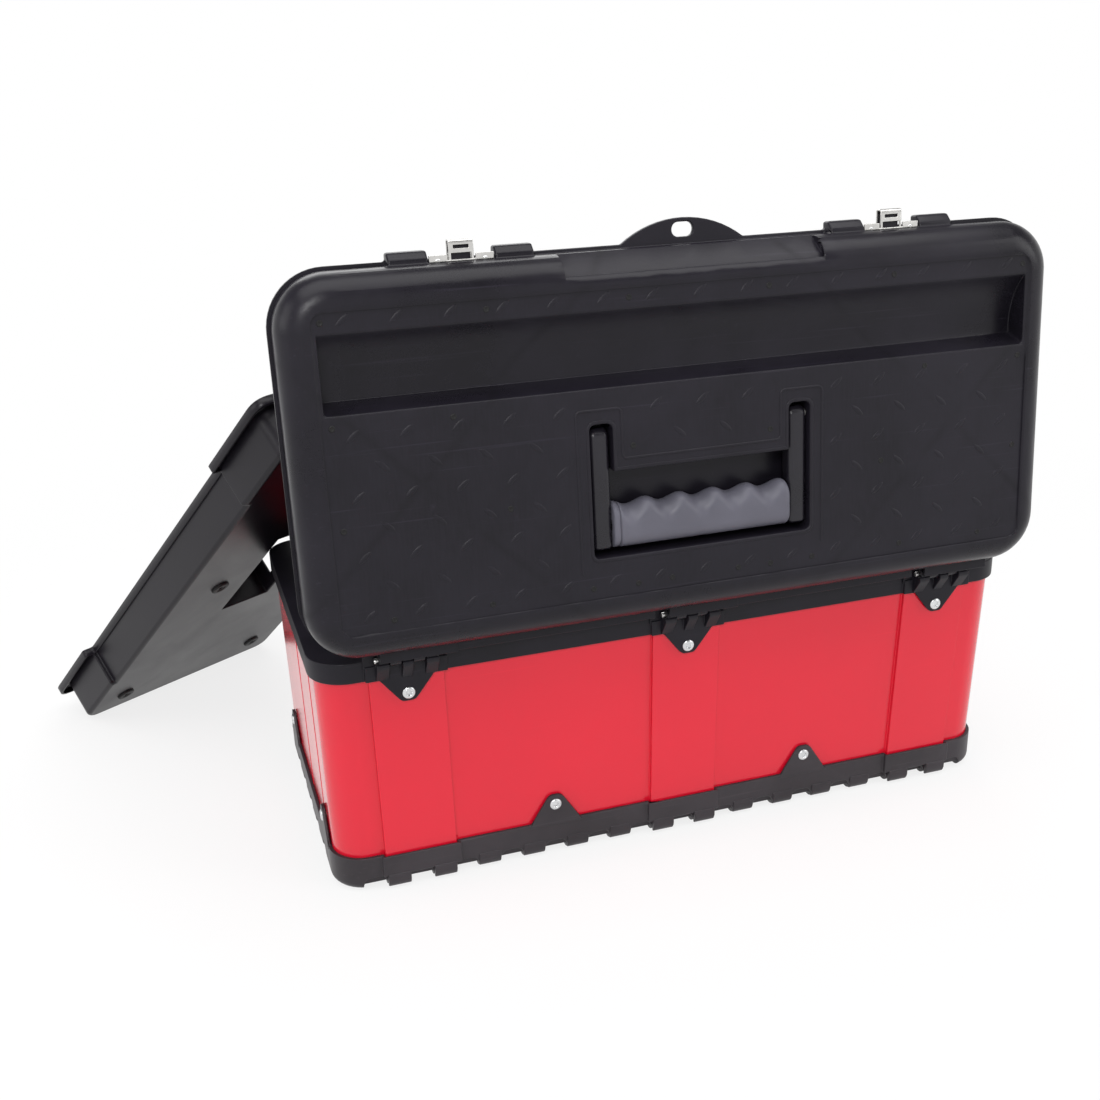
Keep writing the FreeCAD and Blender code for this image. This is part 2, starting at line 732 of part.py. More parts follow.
def make_rim():
    body = new_body("rim_frame")
    outline = new_sketch(body, "XY", dim.rim_low)
    rounded(outline, (-rim_out_x, -rim_out_y), (rim_out_x, rim_out_y), rim_corner)
    pad(body, outline, dim.rim_top - dim.rim_low)

    blocks = new_sketch(body, "XY", dim.rim_low)
    for step in hinge_steps:
        middle = step * dim.band_pitch
        rectangle(blocks, (middle - dim.block_half, -block_face), (middle + dim.block_half, block_face))
    pad(body, blocks, block_top - dim.rim_low)

    for side in (-1, 1):
        tabs = new_sketch(body, "XZ", -side * block_face)
        for step in hinge_steps:
            foot_level = dim.rim_low + dim.tab_thick
            polygon(tabs, tab_points(step * dim.band_pitch, foot_level, dim.rim_tab_low))
        pad(body, tabs, dim.tab_thick, back=side < 0)

    aprons = new_sketch(body, "XZ", apron_face)
    for step in (-1, 1):
        middle = step * dim.latch_x
        foot_level = dim.rim_low + dim.tab_thick
        rectangle(aprons, (middle - dim.apron_half, dim.apron_low), (middle + dim.apron_half, foot_level))
    pad(body, aprons, dim.rim_skirt, back=True)

    channel = new_sketch(body, "XY", dim.rim_low)
    inner_corner = dim.wall_corner + dim.rim_clear
    rounded(channel, (-rim_in_x, -rim_in_y), (rim_in_x, rim_in_y), inner_corner)
    pocket(body, channel, dim.wall_high - dim.rim_low, back=True)
    slots = new_sketch(body, "XY", dim.rim_low)
    slot_half = dim.band_half + dim.band_clear
    for step in hinge_steps:
        middle = step * dim.band_pitch
        rectangle(slots, (middle - slot_half, -band_face), (middle + slot_half, band_face))
    pocket(body, slots, dim.wall_high - dim.rim_low, back=True)

    lip = new_sketch(body, "XY", dim.lip_low)
    lip_x = dim.mouth_half_len + dim.lip_thick
    lip_y = dim.mouth_half_depth + dim.lip_thick
    rounded(lip, (-lip_x, -lip_y), (lip_x, lip_y), dim.mouth_corner + dim.lip_thick)
    pad(body, lip, dim.wall_high - dim.lip_low)
    mouth = new_sketch(body, "XY", dim.lip_low)
    mouth_x, mouth_y = dim.mouth_half_len, dim.mouth_half_depth
    rounded(mouth, (-mouth_x, -mouth_y), (mouth_x, mouth_y), dim.mouth_corner)
    pocket(body, mouth, dim.rim_top, back=True)
    ledge = new_sketch(body, "XY", dim.rim_top - dim.ledge_drop)
    seat_x, seat_y = mouth_x + dim.ledge_width, mouth_y + dim.ledge_width
    rounded(ledge, (-seat_x, -seat_y), (seat_x, seat_y), dim.mouth_corner + dim.ledge_width)
    pocket(body, ledge, dim.rim_top, back=True)

    reach = dim.knuckle_pitch + dim.knuckle_wide / 2
    root = block_face - dim.tab_thick / 2
    far = pin_y + dim.knuckle_r
    web_low = dim.rim_low + dim.web_rise
    web_bend = pin_z - dim.knuckle_r
    gap_half = (dim.knuckle_pitch - dim.knuckle_wide) / 2
    gaps = new_sketch(body, "XY", block_top)
    slits = new_sketch(body, "XY", dim.rim_low)
    for hinge in hinge_steps:
        start = hinge * dim.band_pitch - reach
        web = new_sketch(body, "YZ", start)
        polygon(web, [(root, web_low), (far, web_bend), (far, pin_z), (root, pin_z)])
        pad(body, web, 2 * reach)
        barrel = new_sketch(body, "YZ", start)
        ring_of(barrel, (pin_y, pin_z), dim.knuckle_r)
        pad(body, barrel, 2 * reach)
        for wing in (-1, 1):
            middle = hinge * dim.band_pitch + wing * dim.knuckle_pitch / 2
            outside = far + dim.knuckle_r
            rectangle(gaps, (middle - gap_half, rim_out_y), (middle + gap_half, outside))
            rectangle(slits, (middle - gap_half, block_face), (middle + gap_half, outside))
    pocket(body, gaps, 4 * dim.knuckle_r, back=True)
    pocket(body, slits, block_top - dim.rim_low, back=True)
    bore = new_sketch(body, "YZ")
    ring_of(bore, (pin_y, pin_z), pin_bore)
    pocket(body, bore)

    holes = new_sketch(body, "XZ")
    for step in hinge_steps:
        ring_of(holes, (step * band_x(dim.rim_rivet_z), dim.rim_rivet_z), rivet_bore)
    pocket(body, holes)
    holes = new_sketch(body, "XZ")
    for step in (-1, 1):
        for wing in (-1, 1):
            spot = (step * dim.latch_x + wing * dim.latch_rivet_x, dim.latch_rivet_z)
            ring_of(holes, spot, rivet_bore)
    pocket(body, holes)
    return keep(body)


def make_hinge_pins():
    reach = dim.knuckle_pitch + dim.knuckle_wide / 2 + dim.pin_end
    for step, name in zip(hinge_steps, ("left", "center", "right")):
        start = (step * dim.band_pitch - reach, pin_y, pin_z)
        pin = cylinder(f"hinge_pin_{name}", dim.pin_r, 2 * reach, start, (1, 0, 0))
        pin.Label = f"hinge_pin_{name}"
        keep(pin)


# Moulded lid, drawn closed about the hinge pin: distance from the pin runs towards -Y

def make_lid():
    body = new_body("lid_shell")
    outline = new_sketch(body, "XY", lid_low)
    rounded(outline, (-dim.lid_half_len, -lid_front), (dim.lid_half_len, -dim.lid_set), dim.lid_corner)
    shell = pad(body, outline, dim.lid_crown - lid_low)
    crown_edges = edges_where(shell, lambda edge: lies_at(edge, dim.lid_crown.number))
    crown = fillet(body, shell, crown_edges, dim.lid_round)
    hollow = body.newObject("PartDesign::Thickness", "Hollow")
    open_face = [
        f"Face{n}"
        for n, face in enumerate(crown.Shape.Faces, start=1)
        if lies_at(face, lid_low.number)
    ]
    hollow.Base = (crown, open_face)
    hollow.setExpression("Value", dim.lid_wall.text)
    hollow.Reversed = True
    doc.recompute()

    lid_lip(body)
    lid_backing(body)
    lid_recesses(body)
    lid_front_details(body)
    lid_knuckles(body)
    return hang_on_lid(body)


def lid_lip(body):
    """The lip along the lid's lower edge, and the segment that takes a padlock."""
    lip = new_sketch(body, "XY", lid_low)
    x, front = dim.lid_half_len, -lid_front
    out = dim.lid_lip
    rounded(lip, (-x - out, front - out), (x + out, -dim.lid_set), dim.lid_corner + out)
    inner = dim.lid_wall
    corner = dim.lid_corner - inner
    rounded(lip, (inner - x, front + inner), (x - inner, -dim.lid_set - inner), corner)
    pad(body, lip, dim.lid_lip_tall)
    hasp = new_sketch(body, "XY", lid_low)
    root = front - out
    inside = front + dim.lid_wall / 2
    half = dim.hasp_half
    points = [(-half, root), (half, root), (half, inside), (-half, inside)]
    bowed(hasp, points, 0, dim.hasp_out)
    pad(body, hasp, dim.lid_lip_tall)
    slot = new_sketch(body, "XY", lid_low)
    middle = root - dim.hasp_out + dim.hasp_slot_in
    length = dim.hasp_slot_half + dim.hasp_slot_r
    rounded(
        slot,
        (-length, middle - dim.hasp_slot_r),
        (length, middle + dim.hasp_slot_r),
        dim.hasp_slot_round,
    )
    pocket(body, slot, dim.lid_lip_tall, back=True)


def lid_backing(body):
    """Material inside the shell behind the trough, the handle pocket and the front facet."""
    ceiling = dim.lid_crown - dim.lid_wall / 2
    skin = dim.lid_wall
    edge = dim.trough_near + dim.trough_slope
    floor = panel_level - dim.trough_deep - skin
    backing = new_sketch(body, "YZ")
    bend = (edge + dim.trough_far) / 2 + skin
    points = [
        (dim.trough_near - skin, ceiling),
        (edge - skin, floor),
        (bend, floor),
        (dim.trough_far + skin, panel_level - dim.trough_deep / 2),
        (dim.trough_far + skin, ceiling),
    ]
    polygon(backing, [(-distance, level) for distance, level in points])
    pad(body, backing, 2 * dim.panel_half, both=True)

    bottom = pocket_floor - dim.pocket_wall
    box = new_sketch(body, "XY", bottom)
    near, far = dim.pocket_near - dim.pocket_wall, dim.pocket_far + dim.pocket_wall
    rectangle(box, (-boss_out, -far), (boss_out, -near))
    pad(body, box, ceiling - bottom)

    wedge = new_sketch(body, "YZ")
    start = lid_front - dim.facet_run - 2 * skin
    wall = lid_front - skin / 2
    low_end = dim.lid_crown - dim.facet_fall - 2 * skin
    polygon(wedge, [(-start, ceiling), (-wall, ceiling - dim.lid_round / 2), (-wall, low_end)])
    pad(body, wedge, 2 * (dim.facet_half + skin), both=True)


def lid_recesses(body):
    """Sunk panel, tool trough, handle pocket and front facet."""
    panel = new_sketch(body, "XY", panel_level)
    rounded(panel, (-dim.panel_half, -dim.panel_far), (dim.panel_half, -dim.panel_near), dim.panel_corner)
    pocket(body, panel, dim.lid_round, back=True)

    trough = new_sketch(body, "YZ")
    edge = dim.trough_near + dim.trough_slope
    deep = panel_level - dim.trough_deep
    above = dim.lid_crown + dim.lid_wall
    points = [
        (-dim.trough_near, panel_level),
        (-edge, deep),
        (-dim.trough_far, panel_level),
        (-dim.trough_far, above),
        (-dim.trough_near, above),
    ]
    bowed(trough, points, 1, dim.trough_sag, turn=-1)
    pocket(body, trough, 2 * (dim.panel_half - dim.trough_end), both=True)

    well = new_sketch(body, "XY", pocket_floor)
    half, inner = dim.pocket_half, dim.plateau_half
    near, far, bar = -dim.pocket_near, -dim.pocket_far, -dim.plateau_near
    corners = [(-half, near), (-half, far), (-inner, far), (-inner, bar)]
    corners += [(inner, bar), (inner, far), (half, far), (half, near)]
    polygon(well, corners)
    pocket(body, well, dim.pocket_deep + dim.lid_wall, back=True)
    bore = new_sketch(body, "YZ")
    ring_of(bore, (-dim.pivot_at, dim.pivot_level), pivot_bore)
    pocket(body, bore, 2 * (boss_out - dim.lid_wall), both=True)

    facet = new_sketch(body, "YZ")
    start = -(lid_front - dim.facet_run)
    end_level = dim.lid_crown - dim.facet_fall
    polygon(facet, [(start, dim.lid_crown), (-lid_front, end_level), (-lid_front, dim.lid_crown)])
    pocket(body, facet, 2 * dim.facet_half, both=True)


def lid_front_details(body):
    """Guard blocks with a sloped edge on either side of each keeper, and the keepers' rivet holes."""
    inside = -lid_front + dim.lid_wall / 2
    outside = -lid_front - dim.guard_out
    top = lid_low + dim.guard_tall
    corners = [
        (inside, lid_low),
        (outside, lid_low),
        (outside, top - dim.guard_slope),
        (outside + dim.guard_slope, top),
        (inside, top),
    ]
    for station in (-1, 1):
        for wing in (-1, 1):
            middle = station * dim.latch_x + wing * dim.guard_off
            guard = new_sketch(body, "YZ", middle - dim.guard_half)
            polygon(guard, corners)
            pad(body, guard, 2 * dim.guard_half)
    holes = new_sketch(body, "XZ", lid_front)
    level = keeper_base + dim.keeper_tall / 2
    for station in (-1, 1):
        for wing in (-1, 1):
            ring_of(holes, (station * dim.latch_x + wing * dim.keeper_rivet_x, level), rivet_bore)
    pocket(body, holes, 2 * dim.lid_wall, both=True)


def lid_knuckles(body):
    """The lid's half of the hinges: two arms per hinge between the rim's knuckles."""
    wide = dim.knuckle_pitch - dim.knuckle_wide - 2 * dim.knuckle_side
    reach = (dim.knuckle_pitch + wide) / 2
    gap_half = dim.knuckle_wide / 2 + dim.knuckle_side
    root = -dim.lid_set - dim.lid_wall / 2
    gaps = new_sketch(body, "XY", -2 * dim.knuckle_r)
    for hinge in hinge_steps:
        middle = hinge * dim.band_pitch
        arm = new_sketch(body, "YZ", middle - reach)
        polygon(arm, [(root, lid_low), (0, lid_low), (0, dim.knuckle_r), (root, dim.knuckle_r)])
        pad(body, arm, 2 * reach)
        barrel = new_sketch(body, "YZ", middle - reach)
        ring_of(barrel, (0, 0), dim.knuckle_r)
        pad(body, barrel, 2 * reach)
        low = (middle - gap_half, -dim.knuckle_r - dim.knuckle_gap)
        rectangle(gaps, low, (middle + gap_half, 2 * dim.knuckle_r))
    pocket(body, gaps, 4 * dim.knuckle_r, back=True)
    bore = new_sketch(body, "YZ")
    ring_of(bore, (0, 0), pin_bore)
    pocket(body, bore)


def make_keepers():
    for station, name in ((-1, "left"), (1, "right")):
        body = new_body(f"keeper_{name}")
        middle = station * dim.latch_x
        half = dim.guard_off - dim.guard_half - dim.keeper_clear
        low = keeper_base
        plate = new_sketch(body, "XZ", lid_front)
        rectangle(plate, (middle - half, low), (middle + half, low + dim.keeper_tall))
        pad(body, plate, dim.keeper_thick)
        hook = new_sketch(body, "XZ", lid_front)
        rectangle(
            hook,
            (middle - dim.hook_half, low + dim.hook_inset),
            (middle + dim.hook_half, low + dim.keeper_tall - dim.hook_inset),
        )
        pad(body, hook, dim.keeper_thick + dim.hook_out)
        holes = new_sketch(body, "XZ", lid_front)
        for wing in (-1, 1):
            spot = (middle + wing * dim.keeper_rivet_x, low + dim.keeper_tall / 2)
            ring_of(holes, spot, rivet_bore)
        pocket(body, holes, 2 * dim.keeper_thick, back=True)
        hang_on_lid(body)


def make_keeper_rivets():
    rivets = []
    level = keeper_base + dim.keeper_tall / 2
    face = -lid_front - dim.keeper_thick
    for station in (-1, 1):
        for wing in (-1, 1):
            across = station * dim.latch_x + wing * dim.keeper_rivet_x
            name = f"keeper_rivet_{len(rivets)}"
            grip = dim.keeper_thick + dim.lid_wall
            rivets.append(rivet(name, (across, face, level), (0, -1, 0), grip))
    hang_on_lid(group("keeper_rivets", rivets))


# Folding handle, also drawn about the hinge pin with the lid closed

def make_handle():
    bail = new_body("handle_bail")
    grip_at = dim.pivot_at - dim.grip_reach
    low = dim.pivot_level - dim.arm_thick / 2
    for side in (-1, 1):
        arm = new_sketch(bail, "YZ", side * dim.arm_gap)
        end = dim.grip_wide / 2
        rounded(
            arm,
            (-(dim.pivot_at + dim.arm_end), low),
            (-(grip_at - end), low + dim.arm_thick),
            dim.arm_round,
        )
        pad(bail, arm, dim.arm_wide, back=side < 0)
        core = new_sketch(bail, "YZ", side * dim.arm_gap)
        ring_of(core, (-grip_at, dim.pivot_level), dim.core_r)
        pad(bail, core, dim.arm_gap, back=side > 0)
    bore = new_sketch(bail, "YZ")
    ring_of(bore, (-dim.pivot_at, dim.pivot_level), pivot_bore)
    pocket(bail, bore)
    hang_on_lid(bail)

    grip = new_body("handle_grip")
    half_len = dim.arm_gap - dim.grip_clear
    section = new_sketch(grip, "YZ", -half_len)
    half, thick = dim.grip_wide / 2, dim.grip_thick / 2
    level = dim.pivot_level
    rounded(section, (-grip_at - half, level - thick), (-grip_at + half, level + thick), dim.grip_round)
    pad(grip, section, 2 * half_len)
    scallops = new_sketch(grip, "XY")
    for step in (-2, -1, 0, 1, 2):
        middle = dim.scallop_off + step * dim.scallop_pitch
        centre = -(grip_at + half + dim.scallop_r - dim.scallop_deep)
        ring_of(scallops, (middle, centre), dim.scallop_r)
    pocket(grip, scallops)
    bore = new_sketch(grip, "YZ")
    ring_of(bore, (-grip_at, level), dim.core_r + dim.pin_fit)
    pocket(grip, bore)
    hang_on_lid(grip)

    for side, name in ((-1, "left"), (1, "right")):
        length = boss_out - dim.lid_wall - dim.arm_gap
        spot = (side * dim.arm_gap, -dim.pivot_at, dim.pivot_level)
        pin = cylinder(f"pivot_{name}", dim.pivot_r, length, spot, (side, 0, 0))
        hang_on_lid(group(f"handle_pin_{name}", [pin]))


# Clasps on the box's front

def make_clasps():
    for station, name in ((-1, "left"), (1, "right")):
        middle = station * dim.latch_x
        plate = new_body(f"latch_plate_{name}")
        face = new_sketch(plate, "XZ", apron_face)
        rectangle(face, (middle - dim.latch_half, dim.latch_low), (middle + dim.latch_half, dim.latch_high))
        pad(plate, face, dim.latch_thick)
        for wing in (-1, 1):
            inner = middle + wing * dim.ear_off
            ear = new_sketch(plate, "YZ", inner)
            back, radius = -apron_face - dim.latch_thick / 2, dim.clasp_knuckle_r
            low, high = dim.clasp_pin_z - radius, dim.clasp_pin_z + radius
            rectangle(ear, (-clasp_pin_y - radius, low), (back, high))
            pad(plate, ear, dim.ear_thick, back=wing < 0)
        bore = new_sketch(plate, "YZ")
        ring_of(bore, (-clasp_pin_y, dim.clasp_pin_z), clasp_pin_bore)
        pocket(plate, bore)
        holes = new_sketch(plate, "XZ", apron_face)
        for wing in (-1, 1):
            ring_of(holes, (middle + wing * dim.latch_rivet_x, dim.latch_rivet_z), rivet_bore)
        pocket(plate, holes, 2 * dim.latch_thick, back=True)
        keep(plate)

        reach = dim.ear_off + dim.ear_thick
        start = (middle - reach, -clasp_pin_y, dim.clasp_pin_z)
        pin = cylinder(f"clasp_pin_{name}", dim.clasp_pin_r, 2 * reach, start, (1, 0, 0))
        pin.Label = f"clasp_pin_{name}"
        keep(pin)
        make_clasp(f"latch_clasp_{name}", middle)


def make_clasp(label, middle):
    """A clasp drawn about its pin, hanging down; turned up half a turn it hooks over the keeper."""
    body = new_body(label)
    half = dim.ear_off - dim.knuckle_side
    hook_top = pin_z + keeper_base + dim.keeper_tall - dim.hook_inset
    hook_end = lid_front + dim.keeper_thick + dim.hook_out - pin_y
    box_side = dim.clasp_knuckle_r
    far_side = box_side - dim.clasp_thick
    claw_tip = clasp_pin_y - hook_end + dim.clasp_claw
    under = hook_top + dim.clasp_over - dim.clasp_pin_z
    over = under + dim.clasp_thick
    raised = [(far_side, 0), (far_side, over), (claw_tip, over)]
    raised += [(claw_tip, under), (box_side, under), (box_side, 0)]
    plate = new_sketch(body, "YZ", middle - half)
    polygon(plate, [(-as_size(across), -as_size(up)) for across, up in raised])
    pad(body, plate, 2 * half)
    knuckle = new_sketch(body, "YZ", middle - half)
    ring_of(knuckle, (0, 0), dim.clasp_knuckle_r)
    pad(body, knuckle, 2 * half)
    bore = new_sketch(body, "YZ")
    ring_of(bore, (0, 0), clasp_pin_bore)
    pocket(body, bore)
    body.setExpression("Placement.Base.y", (-clasp_pin_y).text)
    body.setExpression("Placement.Base.z", dim.clasp_pin_z.text)
    return keep(body)


# Blind rivets

def make_rivets():
    """Rivets whose tails just meet the sheet's inner face at the tail's lower edge."""
    rim_rivets, base_rivets, latch_rivets = [], [], []
    rim_tail = wall_y(dim.rim_rivet_z - dim.rivet_tail_r) + dim.band_proud - dim.sheet_thick
    side_tail = wall_y(dim.base_rivet_z - dim.rivet_tail_r) - dim.sheet_thick
    end_tail = wall_x(dim.base_rivet_z - dim.rivet_tail_r) - dim.sheet_thick
    latch_tail = wall_y(dim.latch_rivet_z - dim.rivet_tail_r) - dim.sheet_thick
    side_face = wall_y(dim.base_tab_top) + dim.base_clear + dim.tab_thick
    end_face = wall_x(dim.base_tab_top) + dim.base_clear + dim.tab_thick
    latch_face = apron_face + dim.latch_thick
    for side in (-1, 1):
        for step in hinge_steps:
            spot = (step * band_x(dim.rim_rivet_z), side * block_face, dim.rim_rivet_z)
            name = f"rim_rivet_{len(rim_rivets)}"
            rim_rivets.append(rivet(name, spot, (0, side, 0), block_face - rim_tail))
        for step in (-1, 1):
            spot = (step * dim.base_tab_x, side * side_face, dim.base_rivet_z)
            name = f"base_rivet_{len(base_rivets)}"
            base_rivets.append(rivet(name, spot, (0, side, 0), side_face - side_tail))
        for step in (-1, 1):
            spot = (side * end_face, step * dim.base_tab_y, dim.base_rivet_z)
            name = f"base_rivet_{len(base_rivets)}"
            base_rivets.append(rivet(name, spot, (side, 0, 0), end_face - end_tail))
        for wing in (-1, 1):
            across = side * dim.latch_x + wing * dim.latch_rivet_x
            spot = (across, -latch_face, dim.latch_rivet_z)
            name = f"latch_rivet_{len(latch_rivets)}"
            latch_rivets.append(rivet(name, spot, (0, -1, 0), latch_face - latch_tail))
    keep(group("rim_rivets", rim_rivets))
    keep(group("base_rivets", base_rivets))
    keep(group("latch_rivets", latch_rivets))


# Lift-out tray, drawn level with its lower end at the origin

def eared(sketch, end, ear_half, mid_half):
    """Plan with both ends wider than the middle."""
    start, stop = -as_size(end), dim.tray_len + end
    ear, ear_back = dim.ear_len, dim.tray_len - dim.ear_len
    side = [(start, ear_half), (ear, ear_half), (ear, mid_half)]
    side += [(ear_back, mid_half), (ear_back, ear_half), (stop, ear_half)]
    polygon(sketch, side + [(x, -y) for x, y in side[::-1]])


def upright_corners(feature, start, stop):
    """The upright edges at the two ends of a plan."""

    def at_end(edge):
        box = edge.BoundBox
        upright = box.ZLength > box.XLength + box.YLength
        return upright and (abs(box.XMin - start) < NEAR or abs(box.XMin - stop) < NEAR)

    return edges_where(feature, at_end)


def make_tray():
    body = new_body("tote_tray")
    length, wall = dim.tray_len, dim.tray_wall
    ear_half = dim.tray_half + dim.ear_step
    outline = new_sketch(body, "XY")
    eared(outline, 0, ear_half, dim.tray_half)
    block = pad(body, outline, dim.tray_tall)
    block = fillet(body, block, upright_corners(block, 0.0, length.number), dim.tray_corner)
    fillet(body, block, edges_where(block, lambda edge: lies_at(edge, 0.0)), dim.tray_round)

    flange = new_sketch(body, "XY", dim.tray_tall - dim.flange_thick)
    eared(flange, dim.flange_end, ear_half + dim.flange_ear, dim.tray_half + dim.flange_mid)
    brim = pad(body, flange, dim.flange_thick)
    brim_ends = upright_corners(brim, -dim.flange_end.number, (length + dim.flange_end).number)
    fillet(body, brim, brim_ends, dim.tray_corner)

    inner_corner = dim.tray_corner - wall
    hollow = new_sketch(body, "XY", wall)
    inner_half = dim.tray_half - wall
    rounded(hollow, (wall, -inner_half), (length - wall, inner_half), inner_corner)
    pocket(body, hollow, dim.tray_tall, back=True)
    for start, stop in ((wall, dim.ear_len - wall), (length - dim.ear_len + wall, length - wall)):
        ear = new_sketch(body, "XY", wall)
        rounded(ear, (start, wall - ear_half), (stop, ear_half - wall), inner_corner)
        pocket(body, ear, dim.tray_tall, back=True)

    middle, slot = length / 2, dim.slot_len / 2
    hump = new_sketch(body, "XY", wall / 2)
    rectangle(
        hump,
        (middle - slot - wall, -dim.slot_half - wall),
        (middle + slot + wall, dim.slot_half + wall),
    )
    pad(body, hump, dim.tray_tall - wall / 2)
    slit = new_sketch(body, "XY")
    rectangle(slit, (middle - slot, -dim.slot_half), (middle + slot, dim.slot_half))
    pocket(body, slit, dim.tray_tall - wall, back=True)
    window = new_sketch(body, "XZ")
    half = dim.window_len / 2
    rectangle(window, (middle - half, dim.window_low), (middle + half, dim.window_low + dim.window_tall))
    pocket(body, window, 2 * (dim.slot_half + 2 * wall), both=True)
    return body


def make_tray_feet():
    feet = []
    ends = [(dim.foot_in, dim.foot_side), (dim.tray_len - dim.foot_in, dim.foot_side)]
    for along, across in ends + [(dim.tray_len / 2, dim.foot_mid_side)]:
        for side in (-1, 1):
            spot = (along, side * across, 0)
            feet.append(cylinder(f"tray_foot_{len(feet)}", dim.foot_r, dim.foot_tall, spot, (0, 0, -1)))
    return group("tray_feet", feet)


SETTLE_PASSES = 8


def tray_tilt(yaw):
    """Angle at which the tray, its lower edge on the floor, rests on the rim's corner.

    The corner stands in the tray's bottom slot, so the slot's two long edges carry the tray.
    """
    along = (math.cos(yaw), math.sin(yaw))
    across = (-math.sin(yaw), math.cos(yaw))
    runs = []
    for edge in (-dim.slot_half.number, dim.slot_half.number):
        to_front = (-rim_out_y.number - dim.tray_y.number - across[1] * edge) / along[1]
        to_end = (rim_out_x.number - dim.tray_x.number - across[0] * edge) / along[0]
        runs.append(max(to_front, to_end))
    tilt = math.atan2(dim.rim_top.number, min(runs))
    for _ in range(SETTLE_PASSES):
        rise = dim.rim_top.number + dim.tray_seat.number / math.cos(tilt) - tray_floor_level(tilt)
        tilt = math.atan2(rise, min(runs))
    return tilt


def tray_floor_level(tilt):
    """Level of the sharp lower edge that puts the rounded one just clear of the floor."""
    saved = dim.tray_round.number * (math.sin(tilt) + math.cos(tilt) - 1)
    return dim.tray_seat.number - saved


def lean_tray(pieces):
    yaw = math.radians(dim.tray_yaw.number)
    tilt = tray_tilt(yaw)
    spot = FreeCAD.Vector(dim.tray_x.number, dim.tray_y.number, tray_floor_level(tilt))
    turn = FreeCAD.Rotation(math.degrees(yaw), -math.degrees(tilt), 0)
    for piece in pieces:
        piece.Placement = FreeCAD.Placement(spot, turn)
        keep(piece)


# Build, check and write every piece

make_base()
make_panel("rear_panel", 1)
make_panel("front_panel", -1)
make_end("end_wrap_right", 1)
make_end("end_wrap_left", -1)
make_rim()
make_hinge_pins()
make_lid()
make_keepers()
make_keeper_rivets()
make_handle()
make_clasps()
make_rivets()
lean_tray([make_tray(), make_tray_feet()])
doc.recompute()

for item in doc.Objects:
    if "Invalid" in item.State or "Error" in item.State:
        raise RuntimeError(f"{item.Label} failed: {item.State}")
for node in nodes:
    if node.Shape.isNull() or not node.Shape.isValid():
        raise RuntimeError(f"{node.Label} has no valid shape")

os.makedirs("parts", exist_ok=True)
for node in nodes:
    node.Shape.exportStep(f"parts/{node.Label}.step")
print(len(nodes), "nodes written")
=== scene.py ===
import json
import math

import bmesh
import bpy
from mathutils import Matrix, Vector


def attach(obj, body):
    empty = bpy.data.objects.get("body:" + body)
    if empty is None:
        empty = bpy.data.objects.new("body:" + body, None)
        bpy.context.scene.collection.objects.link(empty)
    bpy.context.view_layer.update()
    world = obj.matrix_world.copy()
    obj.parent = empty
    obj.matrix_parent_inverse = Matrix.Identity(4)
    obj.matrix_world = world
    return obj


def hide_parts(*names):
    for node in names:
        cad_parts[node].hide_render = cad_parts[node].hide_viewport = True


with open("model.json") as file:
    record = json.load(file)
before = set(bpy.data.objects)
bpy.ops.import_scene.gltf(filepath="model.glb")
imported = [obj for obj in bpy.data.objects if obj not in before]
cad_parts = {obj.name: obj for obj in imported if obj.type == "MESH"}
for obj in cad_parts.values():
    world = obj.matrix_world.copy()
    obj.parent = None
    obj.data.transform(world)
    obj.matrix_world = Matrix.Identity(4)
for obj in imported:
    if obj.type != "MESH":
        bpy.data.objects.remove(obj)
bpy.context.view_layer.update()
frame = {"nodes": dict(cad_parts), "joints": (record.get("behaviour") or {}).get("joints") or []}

MM = 0.001
scene = bpy.context.scene

# Colours, linear
PLASTIC = (0.0098, 0.0086, 0.0128)
# The base's black is lighter than the lid's: painted light for the floor's bounce on its skirt.
BASE_PLASTIC_LIT = (0.0330, 0.0280, 0.0325)
TRAY_PLASTIC = (0.0085, 0.0072, 0.0104)
FOOT_RUBBER = (0.0050, 0.0048, 0.0052)
RED = (0.668, 0.0070, 0.0265)
DUSTY_RED = (0.80, 0.16, 0.19)
GRIP_GREY = (0.098, 0.096, 0.120)
STEEL = (0.62, 0.61, 0.60)
NICKEL = (0.66, 0.65, 0.63)
RIVET = (0.70, 0.71, 0.72)


# Places on the lid: across it, away from its hinge and out of its face

def joint_called(name):
    return [joint for joint in frame["joints"] if joint["name"] == name][0]


hinge = joint_called("lid_hinge")
OPEN = math.radians(hinge["range_deg"][1])
HINGE = Vector(hinge["pos_m"])
LID_AWAY = Vector((0, -math.cos(OPEN), math.sin(OPEN)))
LID_OUT = Vector((0, math.sin(OPEN), math.cos(OPEN)))
PANEL_LEVEL = 30.15
TRAY_OUT = Vector(joint_called("tray_lift")["axis"]).normalized()


def on_lid(across, away, out):
    """The point of the scene at a place on the lid, given in millimetres."""
    return HINGE + (Vector((across, 0, 0)) + LID_AWAY * away + LID_OUT * out) * MM


def lid_place(point):
    """Across, away and out of a point, in millimetres."""
    arm = (point - HINGE) / MM
    return arm.x, arm.dot(LID_AWAY), arm.dot(LID_OUT)


# Materials

